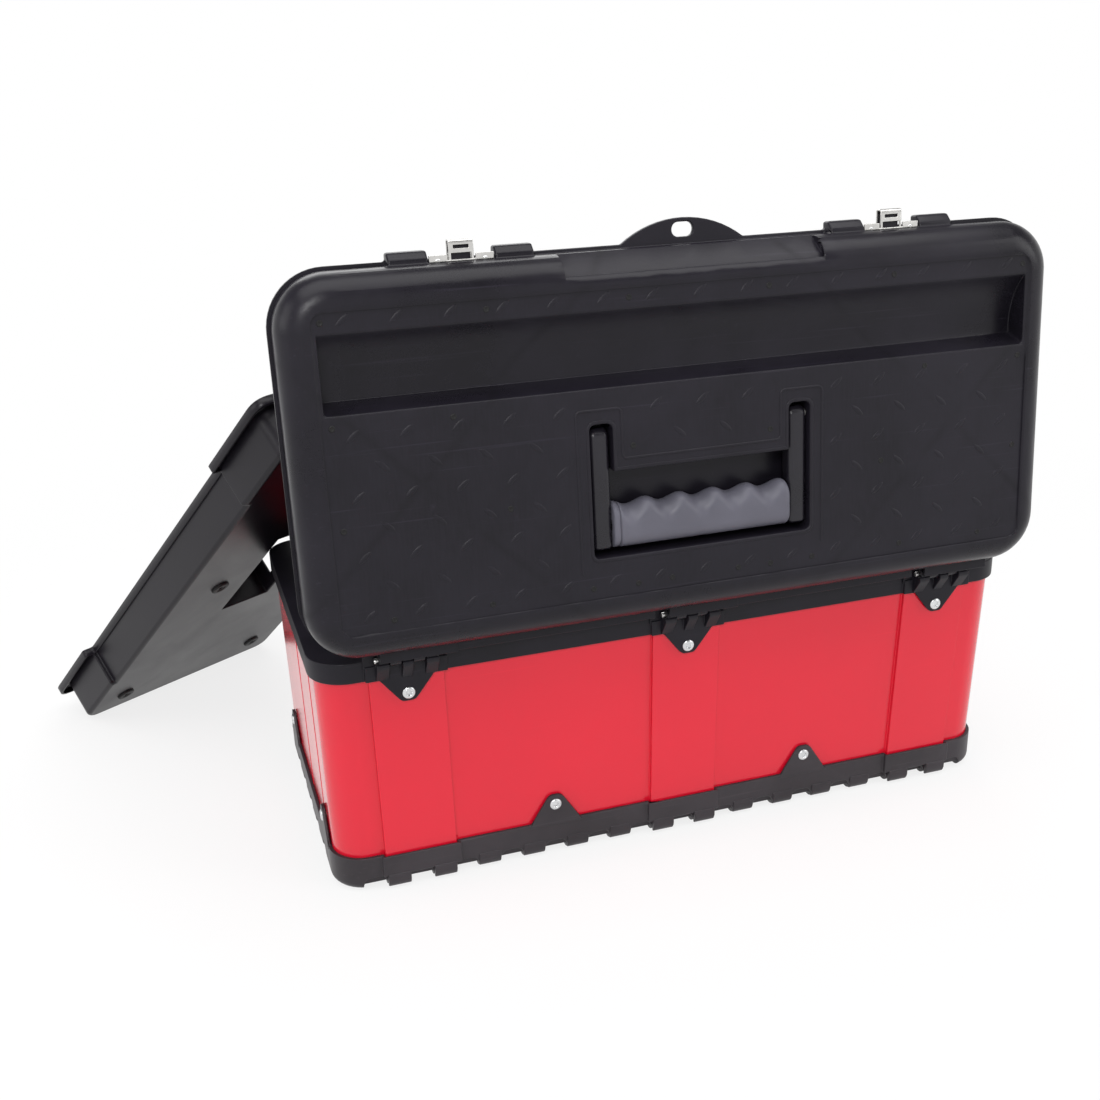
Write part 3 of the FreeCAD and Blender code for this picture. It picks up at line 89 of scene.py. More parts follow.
class Graph:
    """The node graph of one material."""

    def __init__(self, name):
        self.material = bpy.data.materials.new(name)
        self.material.use_nodes = True
        self.tree = self.material.node_tree
        self.shader = self.tree.nodes["Principled BSDF"]
        self.place = self.add("ShaderNodeTexCoord").outputs["Object"]

    def add(self, kind, inputs=None, **settings):
        node = self.tree.nodes.new(kind)
        for key, value in settings.items():
            setattr(node, key, value)
        for key, value in (inputs or {}).items():
            self.feed(node.inputs[key], value)
        return node

    def feed(self, socket, value):
        if isinstance(value, bpy.types.NodeSocket):
            self.tree.links.new(value, socket)
        elif socket.type == "RGBA":
            socket.default_value = (*value, 1)
        else:
            socket.default_value = value

    def noise(self, scale, detail=3, rough=0.55, place=None, warp=0.0):
        inputs = {"Vector": place or self.place, "Scale": scale, "Detail": detail, "Roughness": rough}
        return self.add("ShaderNodeTexNoise", {**inputs, "Distortion": warp}).outputs["Fac"]

    def stretched(self, turn, stretch):
        inputs = {"Vector": self.place, "Rotation": turn, "Scale": stretch}
        return self.add("ShaderNodeMapping", inputs).outputs["Vector"]

    def ramp(self, value, low, high, out_low=0.0, out_high=1.0):
        inputs = {"Value": value, "From Min": low, "From Max": high}
        limits = {"To Min": out_low, "To Max": out_high}
        return self.add("ShaderNodeMapRange", {**inputs, **limits}).outputs["Result"]

    def math(self, operation, a, b=0.0):
        return self.add("ShaderNodeMath", {0: a, 1: b}, operation=operation).outputs[0]

    def mix(self, share, a, b):
        node = self.add("ShaderNodeMix", data_type="RGBA")
        wanted = {"Factor_Float": share, "A_Color": a, "B_Color": b}
        for socket in node.inputs:
            if socket.identifier in wanted:
                self.feed(socket, wanted[socket.identifier])
        return [s for s in node.outputs if s.identifier == "Result_Color"][0]

    def bump(self, height, distance, strength=1.0):
        inputs = {"Height": height, "Distance": distance, "Strength": strength}
        return self.add("ShaderNodeBump", inputs).outputs["Normal"]

    def set(self, **values):
        for key, value in values.items():
            self.feed(self.shader.inputs[key.replace("_", " ")], value)
        return self.material


def shade(colour, factor):
    return tuple(min(1, channel * factor) for channel in colour)


def scratches(graph, turn, density):
    """Fine straight marks: a noise drawn out along one direction."""
    drawn = graph.stretched(turn, (6, 380, 380))
    return graph.ramp(graph.noise(1.0, 2, 0.6, drawn), density, density + 0.08)


SINK_SUM = 0.528
SINK_DIFFERENCE = -0.124
SINK_HALF = 0.0065


def sink_shade_lines(graph, axes):
    """Faint diagonal lines over the ribs inside the lid, mirrored about its middle, where sink marks
    dull the face; the colour is darkened along them as painted shade.
    """
    along = graph.math("ABSOLUTE", axes["X"])
    lines = []
    for operation, level in (("ADD", SINK_SUM), ("SUBTRACT", SINK_DIFFERENCE)):
        place = graph.math(operation, along, axes["Z"])
        distance = graph.math("ABSOLUTE", graph.math("SUBTRACT", place, level))
        lines.append(graph.ramp(distance, 0.0, SINK_HALF, 1.0, 0.0))
    cloud = graph.ramp(graph.noise(26, 3), 0.35, 0.62)
    return graph.math("MULTIPLY", graph.math("MAXIMUM", *lines), cloud)


PANEL_RISE = (0.0280, 0.0295)
PANEL_SIDE = (0.2640, 0.2655)
PANEL_FOOT = (0.2240, 0.2262)
PANEL_HEAD = (0.4405, 0.4420)


def panel_area(graph, axes):
    """One on the lid's sunk panel, whose finish is more matt than the rolled edge round it."""
    depth = graph.math("MULTIPLY", graph.math("SUBTRACT", axes["Y"], HINGE.y), LID_OUT.y)
    rise = graph.math("MULTIPLY", graph.math("SUBTRACT", axes["Z"], HINGE.z), LID_OUT.z)
    area = graph.ramp(graph.math("ADD", depth, rise), *PANEL_RISE)
    aside = graph.math("ABSOLUTE", axes["X"])
    area = graph.math("MULTIPLY", area, graph.ramp(aside, *PANEL_SIDE, 1.0, 0.0))
    area = graph.math("MULTIPLY", area, graph.ramp(axes["Z"], *PANEL_FOOT))
    return graph.math("MULTIPLY", area, graph.ramp(axes["Z"], *PANEL_HEAD, 1.0, 0.0))


SCRATCH_TURNS = ((0.3, 0.2, 0.9), (0.7, 1.1, 0.2), (1.2, 0.4, 0.1))


def plastic(name, tone, roughness, marks, mirror=0.22, lid=False):
    """Moulded plastic with blotches, dust and scuffs; the lid's has streaks as well, and sink lines
    that are duller and darkened in colour as painted shade.
    """
    graph = Graph(name)
    blotch = graph.noise(11, 5, 0.62, warp=0.5)
    fine = graph.noise(1300, 2)
    hatched = [scratches(graph, turn, 0.68) for turn in SCRATCH_TURNS]
    lines = graph.math("MAXIMUM", graph.math("MAXIMUM", hatched[0], hatched[1]), hatched[2])
    dust = graph.ramp(graph.noise(140, 5, 0.7), 0.62, 0.78, 0, 0.5 * marks)
    colour = graph.mix(graph.ramp(blotch, 0.3, 0.7), shade(tone, 0.7), shade(tone, 1.3))
    colour = graph.mix(dust, colour, shade(tone, 1.9))
    colour = graph.mix(graph.math("MULTIPLY", lines, 0.35 * marks), colour, shade(tone, 2.6))
    gloss = graph.ramp(blotch, 0.25, 0.75, roughness - 0.06, roughness + 0.07)
    gloss = graph.math("ADD", gloss, graph.math("MULTIPLY", fine, 0.06))
    relief = graph.math("ADD", fine, graph.math("MULTIPLY", lines, -0.5 * marks))
    if lid:
        axes = graph.add("ShaderNodeSeparateXYZ", {"Vector": graph.place}).outputs
        sink_dullness_and_shade, panel = sink_shade_lines(graph, axes), panel_area(graph, axes)
        streaks = graph.noise(1.0, 3, 0.6, graph.stretched((0, 0, 0), (700, 700, 30)))
        streaks = graph.math("MULTIPLY", graph.ramp(streaks, 0.35, 0.70), panel)
        colour = graph.mix(graph.math("MULTIPLY", streaks, 0.45), colour, shade(tone, 1.4))
        # Painted shade: the colour is darkened to half along the sink lines.
        colour = graph.mix(graph.math("MULTIPLY", sink_dullness_and_shade, 0.5), colour, shade(tone, 0.5))
        gloss = graph.math("ADD", gloss, graph.math("MULTIPLY", panel, 0.12))
        gloss = graph.math("ADD", gloss, graph.math("MULTIPLY", sink_dullness_and_shade, 0.10))
        relief = graph.math("ADD", relief, graph.math("MULTIPLY", streaks, 0.3))
    graph.shader.inputs["Specular IOR Level"].default_value = mirror
    return graph.set(Base_Color=colour, Roughness=gloss, Normal=graph.bump(relief, 0.00004, 0.6))


def enamel(name, tone):
    """Glossy paint with a slight orange peel."""
    graph = Graph(name)
    cloud = graph.noise(5, 3)
    peel = graph.noise(260, 2)
    fine = graph.noise(1500, 2)
    lines = scratches(graph, (0.1, 0.15, 1.35), 0.70)
    dust = graph.ramp(graph.noise(420, 3, 0.7), 0.68, 0.80, 0, 0.10)
    colour = graph.mix(graph.ramp(cloud, 0.3, 0.7), shade(tone, 0.96), shade(tone, 1.03))
    colour = graph.mix(graph.math("MULTIPLY", lines, 0.15), colour, shade(tone, 1.3))
    colour = graph.mix(dust, colour, DUSTY_RED)
    gloss = graph.ramp(cloud, 0.3, 0.7, 0.10, 0.15)
    gloss = graph.math("ADD", gloss, graph.math("MULTIPLY", fine, 0.03))
    return graph.set(Base_Color=colour, Roughness=gloss, Normal=graph.bump(peel, 0.00003, 0.15))


def metal(name, tone, roughness, brush):
    """Metal with fine marks, drawn out where the three scales of brush differ."""
    graph = Graph(name)
    cloud = graph.noise(60, 3)
    drawn = graph.noise(1.0, 3, 0.6, graph.stretched((0, 0, 0), brush))
    colour = graph.mix(graph.ramp(cloud, 0.3, 0.7), shade(tone, 0.82), shade(tone, 1.05))
    gloss = graph.ramp(drawn, 0.3, 0.7, roughness - 0.05, roughness + 0.09)
    graph.shader.inputs["Metallic"].default_value = 1.0
    return graph.set(Base_Color=colour, Roughness=gloss, Normal=graph.bump(drawn, 0.00002, 0.4))


def rubber(name, tone, roughness):
    """Soft plastic or rubber with a fine grain."""
    graph = Graph(name)
    cloud = graph.noise(30, 3)
    fine = graph.noise(1400, 2)
    colour = graph.mix(graph.ramp(cloud, 0.3, 0.7), shade(tone, 0.92), shade(tone, 1.1))
    gloss = graph.ramp(cloud, 0.3, 0.7, roughness - 0.04, roughness + 0.06)
    graph.shader.inputs["Specular IOR Level"].default_value = 0.3
    return graph.set(Base_Color=colour, Roughness=gloss, Normal=graph.bump(fine, 0.00006, 0.6))


lid_black = plastic("lid_plastic", PLASTIC, 0.26, 1.4, lid=True)
black = plastic("black_plastic", PLASTIC, 0.40, 0.8)
# A lighter copy of the black plastic for the base and its pads, as painted light from the floor's
# bounce.
base_black_lit = plastic("base_plastic_lit", BASE_PLASTIC_LIT, 0.36, 0.8, mirror=0.3)
tray_black = plastic("tray_plastic", TRAY_PLASTIC, 0.30, 0.6)
arm_black = plastic("arm_plastic", PLASTIC, 0.26, 0.6, mirror=0.4)
foot_black = rubber("foot_plastic", FOOT_RUBBER, 0.55)
red = enamel("red_paint", RED)
grey = rubber("grey_grip", GRIP_GREY, 0.42)
rivet_metal = metal("rivet_metal", RIVET, 0.26, (500, 500, 500))
nickel = metal("nickel", NICKEL, 0.20, (900, 40, 900))
steel = metal("steel", STEEL, 0.30, (40, 900, 900))


# Mesh helpers

def link(name, mesh):
    piece = bpy.data.objects.new(name, mesh)
    scene.collection.objects.link(piece)
    return piece


def finished(modified):
    """The object's mesh with its modifiers applied."""
    depsgraph = bpy.context.evaluated_depsgraph_get()
    mesh = bpy.data.meshes.new_from_object(modified.evaluated_get(depsgraph))
    modified.modifiers.clear()
    modified.data = mesh


def seat(piece, material, slot, body, *nodes):
    """Gives a piece its material and body, and hides the CAD nodes that it stands for; slot is not
    used.
    """
    piece.data.materials.clear()
    piece.data.materials.append(material)
    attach(piece, body)
    if nodes:
        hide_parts(*nodes)
    return piece


def built(name, work, sharp=40):
    """An object of a bmesh, smooth but for edges sharper than the angle in degrees."""
    bmesh.ops.recalc_face_normals(work, faces=work.faces)
    for face in work.faces:
        face.smooth = True
    mesh = bpy.data.meshes.new(name)
    work.to_mesh(mesh)
    work.free()
    mesh.set_sharp_from_angle(angle=math.radians(sharp))
    return link(name, mesh)


SHARP = math.radians(30)
DISSOLVE = math.radians(0.6)
WELD = 0.004 * MM
ROOM_SHARE = 0.42
ROOM_STEPS = 40
ROOM_SPOTS = (0.3, 0.5, 0.7)
BEVEL_STEPS = 3


def room_beside(loop, share, sharp, reach):
    """How far the surface runs from an edge, up to the reach, before it meets another sharp edge."""
    face, entry = loop.face, loop.edge
    start, end = loop.vert.co, loop.link_loop_next.vert.co
    spot = start.lerp(end, share)
    ahead = face.normal.cross(end - start).normalized()
    gone = 0.0
    for _ in range(ROOM_STEPS):
        side = face.normal.cross(ahead)
        nearest, crossing = reach, None
        for other in face.loops:
            if other.edge == entry:
                continue
            a, b = other.vert.co - spot, other.link_loop_next.vert.co - spot
            left, right = a.dot(side), b.dot(side)
            if left * right > 0 or left == right:
                continue
            step = a.lerp(b, left / (left - right)).dot(ahead)
            if 0 < step < nearest:
                nearest, crossing = step, other.edge
        gone += nearest
        if gone >= reach or crossing in sharp or len(crossing.link_faces) != 2:
            break
        spot = spot + ahead * nearest
        face = [f for f in crossing.link_faces if f != face][0]
        ahead = (ahead - face.normal * ahead.dot(face.normal)).normalized()
        entry = crossing
    return min(gone, reach)


def level_runs(widths):
    """The least width of each run of edges, for the whole run."""
    left = set(widths)
    while left:
        run, stack = [], [left.pop()]
        while stack:
            edge = stack.pop()
            run.append(edge)
            for vert in edge.verts:
                near = [other for other in vert.link_edges if other in widths]
                if len(near) == 2:
                    fresh = [other for other in near if other in left]
                    left.difference_update(fresh)
                    stack.extend(fresh)
        least = min(widths[edge] for edge in run)
        widths.update((edge, least) for edge in run)


LONGEST_EDGE = 12.0
FLAT = math.radians(0.2)


def even_out(work):
    """Well-shaped triangles on the flat faces, so that no edge runs almost along a rounded border."""
    parts = {}
    for edge in work.edges:
        parts.setdefault(int(edge.calc_length() / (LONGEST_EDGE * MM)), []).append(edge)
    for cuts, edges in parts.items():
        if cuts:
            bmesh.ops.bisect_edges(work, edges=edges, cuts=cuts)
    bmesh.ops.triangulate(work, faces=work.faces[:], quad_method="BEAUTY", ngon_method="BEAUTY")
    flat = [e for e in work.edges if len(e.link_faces) == 2 and e.calc_face_angle(1) < FLAT]
    bmesh.ops.beautify_fill(work, faces=work.faces[:], edges=flat, method="ANGLE")


def softened(node, material, slot, body, rounding):
    """A copy of a CAD node with its sharp edges rounded; rounding gives an edge's width in mm."""
    mesh = frame["nodes"][node].data.copy()
    mesh.name = node + "_skin"
    work = bmesh.new()
    work.from_mesh(mesh)
    bmesh.ops.remove_doubles(work, verts=work.verts, dist=WELD)
    bmesh.ops.dissolve_degenerate(work, dist=WELD, edges=work.edges)
    bmesh.ops.dissolve_limit(work, angle_limit=DISSOLVE, verts=work.verts, edges=work.edges)
    even_out(work)
    weight = work.edges.layers.float.new("bevel_weight_edge")
    sharp = {e for e in work.edges if len(e.link_faces) == 2 and e.calc_face_angle(0) > SHARP}
    widths = {}
    for edge in sharp:
        start, end = (vert.co for vert in edge.verts)
        wanted = rounding((start + end) / 2, (end - start).normalized()) * MM
        shares = [(loop, share) for loop in edge.link_loops for share in ROOM_SPOTS]
        room = min(room_beside(loop, share, sharp, wanted / ROOM_SHARE) for loop, share in shares)
        widths[edge] = room * ROOM_SHARE
    level_runs(widths)
    widest = max(widths.values())
    for edge, width in widths.items():
        edge[weight] = width / widest
    for face in work.faces:
        face.smooth = True
    work.to_mesh(mesh)
    work.free()
    piece = link(node + "_skin", mesh)
    bevel = piece.modifiers.new("round", "BEVEL")
    bevel.width = widest
    bevel.segments = BEVEL_STEPS
    bevel.limit_method = "WEIGHT"
    bevel.use_clamp_overlap = False
    bevel.loop_slide = False
    piece.modifiers.new("even", "WEIGHTED_NORMAL").keep_sharp = False
    finished(piece)
    return seat(piece, material, slot, body, node)


def lathed(work, profile, spot, axis, steps=36):
    """A turned solid: profile points are radius and distance along the axis, from tip to tip, in mm."""
    axis = Vector(axis).normalized()
    side = axis.orthogonal().normalized()
    other = axis.cross(side)
    rings = []
    for radius, height in profile:
        centre = Vector(spot) + axis * height * MM
        if radius == 0:
            rings.append([work.verts.new(centre)])
            continue
        ring = []
        for step in range(steps):
            angle = 2 * math.pi * step / steps
            arm = side * math.cos(angle) + other * math.sin(angle)
            ring.append(work.verts.new(centre + arm * radius * MM))
        rings.append(ring)
    for near, far in zip(rings, rings[1:]):
        for step in range(steps):
            ahead = (step + 1) % steps
            if len(near) == 1:
                work.faces.new((near[0], far[step], far[ahead]))
            elif len(far) == 1:
                work.faces.new((near[step], far[0], near[ahead]))
            else:
                work.faces.new((near[step], far[step], far[ahead], near[ahead]))


def lofted(work, rings, closed=True):
    """Faces between rings of equally many points, with both ends closed."""
    loops = [[work.verts.new(point) for point in ring] for ring in rings]
    count = len(loops[0])
    for near, far in zip(loops, loops[1:]):
        for step in range(count):
            ahead = (step + 1) % count
            work.faces.new((near[step], near[ahead], far[ahead], far[step]))
    if closed:
        work.faces.new(loops[0][::-1])
        work.faces.new(loops[-1])


def plate(work, columns, rows, filled, place, low, high):
    """A plate made of the filled cells between columns and rows, from a low to a high level."""
    points = {}

    def corner(column, row, level):
        key = column, row, level
        if key not in points:
            points[key] = work.verts.new(place(columns[column], rows[row], level))
        return points[key]

    for i, j in filled:
        around = [(i, j), (i + 1, j), (i + 1, j + 1), (i, j + 1)]
        work.faces.new([corner(*cell, high) for cell in around])
        work.faces.new([corner(*cell, low) for cell in around[::-1]])
        beside = [(i, j - 1), (i + 1, j), (i, j + 1), (i - 1, j)]
        for start, end, other in zip(around, around[1:] + around[:1], beside):
            if other not in filled:
                side = ((*start, low), (*end, low), (*end, high), (*start, high))
                work.faces.new([corner(*key) for key in side])


def rounded_path(points, radius):
    """A polyline with its inner corners turned into arcs."""
    path = [Vector(points[0])]
    for before, corner, after in zip(points, points[1:], points[2:]):
        before, corner, after = Vector(before), Vector(corner), Vector(after)
        into, out = (before - corner).normalized(), (after - corner).normalized()
        for step in range(9):
            share = step / 8
            a = corner + into * radius * (1 - share)
            b = corner + out * radius * share
            path.append(a.lerp(b, share))
    path.append(Vector(points[-1]))
    return path


CLOSE = 0.001 * MM


def rounded_loop(points, radius_at):
    """A closed polyline with its corners turned into arcs; radius_at gives a corner's radius."""
    path = []
    for index, corner in enumerate(points):
        before, after = points[index - 1], points[(index + 1) % len(points)]
        path += rounded_path((before, corner, after), radius_at(corner))[1:-1]
    return path


def swept(work, path, section, turn, place):
    """A section led round a closed path; turn, 1 or -1, says which side of the path is outward."""
    rings = []
    for index, point in enumerate(path):
        ahead = path[(index + 1) % len(path)] - path[index - 1]
        outward = turn * Vector((ahead.y, -ahead.x)).normalized()
        rings.append([place(point + outward * aside, out) for aside, out in section])
    lofted(work, rings + rings[:1], closed=False)
    bmesh.ops.remove_doubles(work, verts=work.verts, dist=CLOSE)


def rounded_off(piece, width):
    """Rounds every sharp edge of a piece."""
    bevel = piece.modifiers.new("round", "BEVEL")
    bevel.width = width * MM
    bevel.segments = BEVEL_STEPS
    bevel.angle_limit = SHARP
    piece.modifiers.new("even", "WEIGHTED_NORMAL").keep_sharp = False
    finished(piece)
    return piece


def solids_of(node):
    """The points of each separate solid of a CAD node."""
    work = bmesh.new()
    work.from_mesh(frame["nodes"][node].data)
    bmesh.ops.remove_doubles(work, verts=work.verts, dist=WELD)
    left, groups = set(work.verts), []
    while left:
        stack = [left.pop()]
        group = []
        while stack:
            vert = stack.pop()
            group.append(vert.co.copy())
            for edge in vert.link_edges:
                other = edge.other_vert(vert)
                if other in left:
                    left.remove(other)
                    stack.append(other)
        groups.append(group)
    work.free()
    return groups


# Rounded copies of the CAD pieces

ALIGNED = 0.9
GUARD_AWAY, GUARD_ACROSS, GUARD_EDGE = 262, 100, 1.8
POCKET_ACROSS, POCKET_AWAY = 90, (52, 162)
POCKET_CORNER, POCKET_EDGE = 4.0, 1.5
TROUGH_AWAY = (176, 236)
TROUGH_CORNER, TROUGH_EDGE = 2.5, 1.1
PANEL_STEP = 29
LID_EDGE = 1.0


def lid_rounding(point, along):
    """Rounding of the lid's edges; the low step round its panel stays as it is."""
    across, away, out = lid_place(point)
    upright = abs(along.dot(LID_OUT)) > ALIGNED
    if away > GUARD_AWAY and abs(across) > GUARD_ACROSS:
        return GUARD_EDGE
    if abs(across) < POCKET_ACROSS and POCKET_AWAY[0] < away < POCKET_AWAY[1]:
        return POCKET_CORNER if upright else POCKET_EDGE
    if TROUGH_AWAY[0] < away < TROUGH_AWAY[1]:
        return TROUGH_CORNER if upright else TROUGH_EDGE
    return 0.0 if out > PANEL_STEP else LID_EDGE


BOX_END = 270
TIP_EDGE = 4.6
LEVEL_EDGE = 0.05


def tab_rounding(low, high, plain):
    """Wide rounding at the rivet tabs' tips, whose corner edges run through the tab's thickness."""
    def rounding(point, along):
        square = abs(along.z) < LEVEL_EDGE and abs(abs(along.x) - abs(along.y)) > ALIGNED
        at_tip = low < point.z / MM < high and square and thin_edge(point, along)
        return TIP_EDGE if at_tip else plain
    return rounding


def thin_edge(point, along):
    """True for an edge that runs out of a wall of the box."""
    at_end = abs(point.x) / MM > BOX_END
    return abs(along.x) > ALIGNED if at_end else abs(along.y) > ALIGNED


TRAY_CORNER, TRAY_EDGE = 2.2, 1.2


def tray_rounding(point, along):
    return TRAY_CORNER if abs(along.dot(TRAY_OUT)) > ALIGNED else TRAY_EDGE


def even(width):
    """The same rounding at every edge."""
    return lambda point, along: width


BASE_TIPS, BASE_EDGE = (49, 54), 1.1
RIM_TIPS, RIM_EDGE = (150, 160), 0.8
SHEET_EDGE = 0.5

softened("base_pan", base_black_lit, "black_plastic", "box", tab_rounding(*BASE_TIPS, BASE_EDGE))
softened("rim_frame", black, "black_plastic", "box", tab_rounding(*RIM_TIPS, RIM_EDGE))
for panel in ("rear_panel", "front_panel", "end_wrap_left", "end_wrap_right"):
    softened(panel, red, "red_paint", "box", even(SHEET_EDGE))
softened("lid_shell", lid_black, "black_plastic", "lid", lid_rounding)
softened("tote_tray", tray_black, "tray_plastic", "tray", tray_rounding)
for side in ("left", "right"):
    softened("latch_plate_" + side, nickel, "nickel", "box", even(SHEET_EDGE))
    softened("latch_clasp_" + side, nickel, "nickel", "clasp_" + side, even(SHEET_EDGE))


# Handle: two rounded arms on a bar

ARM_IN, ARM_OUT = 68.9, 82.9
ARM_LOW, ARM_TOP = 65.2, 152.4
ARM_LEVEL, ARM_HALF, ARM_ROUND = 20.5, 6.5, 3.6
ARM_FOOT, ARM_TAPER = 2.5, 3.0
BAR_AT, BAR_R = 82.0, 5.0


def arm_section(side, away, half, inset):
    """A rounded outline across one arm."""
    wide = (ARM_OUT - ARM_IN) / 2 - inset
    radius = min(ARM_ROUND, 0.95 * half)
    middle = side * (ARM_IN + ARM_OUT) / 2
    ring = []
    for x_side, out_side, start in ((1, 1, 0), (-1, 1, 90), (-1, -1, 180), (1, -1, 270)):
        for step in range(7):
            angle = math.radians(start + 15 * step)
            across = middle + x_side * (wide - radius) + radius * math.cos(angle)
            out = ARM_LEVEL + out_side * (half - radius) + radius * math.sin(angle)
            ring.append(on_lid(across, away, out))
    return ring


def make_bail():
    rings = []
    for step in range(6):
        angle = math.radians(18 * step)
        inset = ARM_FOOT * (1 - math.sin(angle))
        rings.append((ARM_LOW + ARM_FOOT * (1 - math.cos(angle)), ARM_HALF - inset, inset))
    for step in range(13):
        angle = math.radians(7 * step)
        away = ARM_TOP - ARM_HALF + ARM_HALF * math.sin(angle)
        rings.append((away, ARM_HALF * math.cos(angle), ARM_TAPER * (1 - math.cos(angle))))
    work = bmesh.new()
    for side in (-1, 1):
        lofted(work, [arm_section(side, *ring) for ring in rings])
    length = 2 * ARM_IN
    bar = ((0, 0), (BAR_R, 0), (BAR_R, length), (0, length))
    lathed(work, bar, on_lid(-ARM_IN, BAR_AT, ARM_LEVEL), (1, 0, 0))
    seat(built("handle_arms", work), arm_black, "black_plastic", "handle", "handle_bail")


make_bail()


# Soft grip with finger scallops

GRIP_HALF_LEN = 68.5
GRIP_LOW, GRIP_HIGH = 65.0, 99.0
GRIP_BACK, GRIP_FRONT = 10.5, 30.5
GRIP_ROUND = 9.6
BUMP_AT, BUMP_PITCH, BUMP_TALL = 15.2, 26.3, 5.0
HOLLOW_ROUND = 5.0
COLLAR_FROM = 63.8


def grip_section(across, inset):
    """A rounded outline across the grip, hollowed for the fingers; inset draws it in near the ends."""
    sink_dullness_and_shade = 0.5 - 0.5 * math.cos(2 * math.pi * (across - BUMP_AT) / BUMP_PITCH)
    low, high = GRIP_LOW + inset, GRIP_HIGH - BUMP_TALL * sink_dullness_and_shade - inset
    back, front = GRIP_BACK + inset, GRIP_FRONT - inset
    plain = GRIP_ROUND - inset
    wide, narrow = plain + HOLLOW_ROUND * sink_dullness_and_shade, plain - HOLLOW_ROUND * sink_dullness_and_shade
    corners = (
        (high - wide, front - wide, wide, 0), (low + plain, front - plain, plain, 90),
        (low + plain, back + plain, plain, 180), (high - narrow, back + narrow, narrow, 270),
    )
    ring = []
    for away, out, radius, start in corners:
        for step in range(11):
            angle = math.radians(start + 9 * step)
            ring.append(on_lid(across, away + radius * math.cos(angle), out + radius * math.sin(angle)))
    return ring


def make_grip():
    stations = [(-GRIP_HALF_LEN, 2.0), (-GRIP_HALF_LEN + 0.4, 1.0), (-GRIP_HALF_LEN + 1.4, 0.2)]
    count = 96
    first, last = -GRIP_HALF_LEN + 2.4, COLLAR_FROM - 1.6
    stations += [(first + (last - first) * step / count, 0.0) for step in range(count + 1)]
    stations += [(COLLAR_FROM - 0.9, 0.5), (COLLAR_FROM - 0.4, 1.5), (COLLAR_FROM, 1.6)]
    stations += [(COLLAR_FROM + 0.3, 0.7), (COLLAR_FROM + 1.0, 0.3), (GRIP_HALF_LEN - 1.0, 0.3)]
    stations += [(GRIP_HALF_LEN - 0.3, 0.8), (GRIP_HALF_LEN, 1.6)]
    work = bmesh.new()
    lofted(work, [grip_section(across, inset) for across, inset in stations])
    seat(built("grip_sleeve", work), grey, "grey_grip", "handle", "handle_grip")


make_grip()


# Blind rivets: domed head with a sunk stem, shank and bulbed tail

HEAD_R, HEAD_TALL = 4.75, 1.6
KEEPER_HEAD_R = 3.2
SHANK_R, TAIL_R, TAIL_TALL = 2.4, 3.4, 2.0


def rivet_profile(length, head_r):
    """Radius and depth from the middle of the head to the end of the tail."""
    crater = 0.42 * head_r
    head = [(0, 0.80), (0.8, 0.82), (1.1, 1.0)]
    head += [(crater - 0.35, 1.15), (crater, 0.55), (crater + 0.2, 0.30)]
    first = math.asin((crater + 0.45) / head_r)
    for step in range(9):
        angle = first + (math.radians(88) - first) * step / 8
        head.append((head_r * math.sin(angle), HEAD_TALL * (1 - math.cos(angle))))
    under = [(head_r - 0.1, HEAD_TALL), (SHANK_R, HEAD_TALL)]
    start = length - TAIL_TALL
    tail = [(SHANK_R, start), (TAIL_R - 0.3, start + 0.1), (TAIL_R, start + 0.5)]
    tail += [(TAIL_R, length - 0.6), (TAIL_R - 0.5, length - 0.1)]
    tail += [(TAIL_R - 1.1, length), (0, length)]
    return head + under + tail


def rivet_axis(points):
    """The outer end of a rivet, the way in along it, and its length in mm."""
    low = Vector(min(p[i] for p in points) for i in range(3))
    high = Vector(max(p[i] for p in points) for i in range(3))
    middle = (low + high) / 2

    def aside(point, axis):
        arm = point - middle
        return (arm - axis * arm.dot(axis)).length

    def misfit(axis):
        return abs(max(aside(p, axis) for p in points) - HEAD_R * MM)

    axis = min((Vector((1, 0, 0)), Vector((0, 1, 0)), LID_AWAY), key=misfit)
    head = [(p - middle).dot(axis) for p in points if aside(p, axis) > (HEAD_R - 0.3) * MM]
    if sum(head) < 0:
        axis = -axis
    ends = [(p - middle).dot(axis) for p in points]
    return middle + axis * max(ends), -axis, (max(ends) - min(ends)) / MM


def make_rivets(node, body, head_r):
    work = bmesh.new()
    for points in solids_of(node):
        tip, inward, length = rivet_axis(points)
        lathed(work, rivet_profile(length, head_r), tip, inward)
    seat(built(node + "_turned", work, 50), rivet_metal, "rivet_metal", body, node)


for node in ("rim_rivets", "base_rivets", "latch_rivets"):
    make_rivets(node, "box", HEAD_R)
make_rivets("keeper_rivets", "lid", KEEPER_HEAD_R)


# Keepers: a riveted angle with a slotted loop for the clasp

KEEPER_AT = 160.0
KEEPER_HALF = 22.0
KEEPER_SEAT = 270.1
KEEPER_BACK, KEEPER_FACE = 2.4, 10.4
TAB_TALL = 4.8
LOOP_HALF, LOOP_TOP = 8.5, 284.4
LOOP_LEG, LOOP_BEND = 1.7, 2.2
SLOT_HALF, SLOT_LOW, SLOT_HIGH, SILL = 5.2, 278.4, 280.5, 275.4
SHEET = 1.3


def loop_strap(across):
    """Section of the loop's strap: up its back, over its top and down to its face."""
    bend = LOOP_BEND
    back, front, top = KEEPER_BACK + 0.8, KEEPER_FACE - 0.2, LOOP_TOP
    outer, inner = [(back, KEEPER_SEAT)], [(back + SHEET, KEEPER_SEAT)]
    for centre, start in ((back + bend, 180), (front - bend, 90)):
        for step in range(7):
            angle = math.radians(start - 15 * step)
            for ring, radius in ((outer, bend), (inner, bend - SHEET)):
                ring.append((centre + radius * math.cos(angle), top - bend + radius * math.sin(angle)))
    outer.append((front, top - bend - 0.8))
    inner.append((front - SHEET, top - bend - 0.8))
    return [on_lid(across, away, out) for out, away in outer + inner[::-1]]


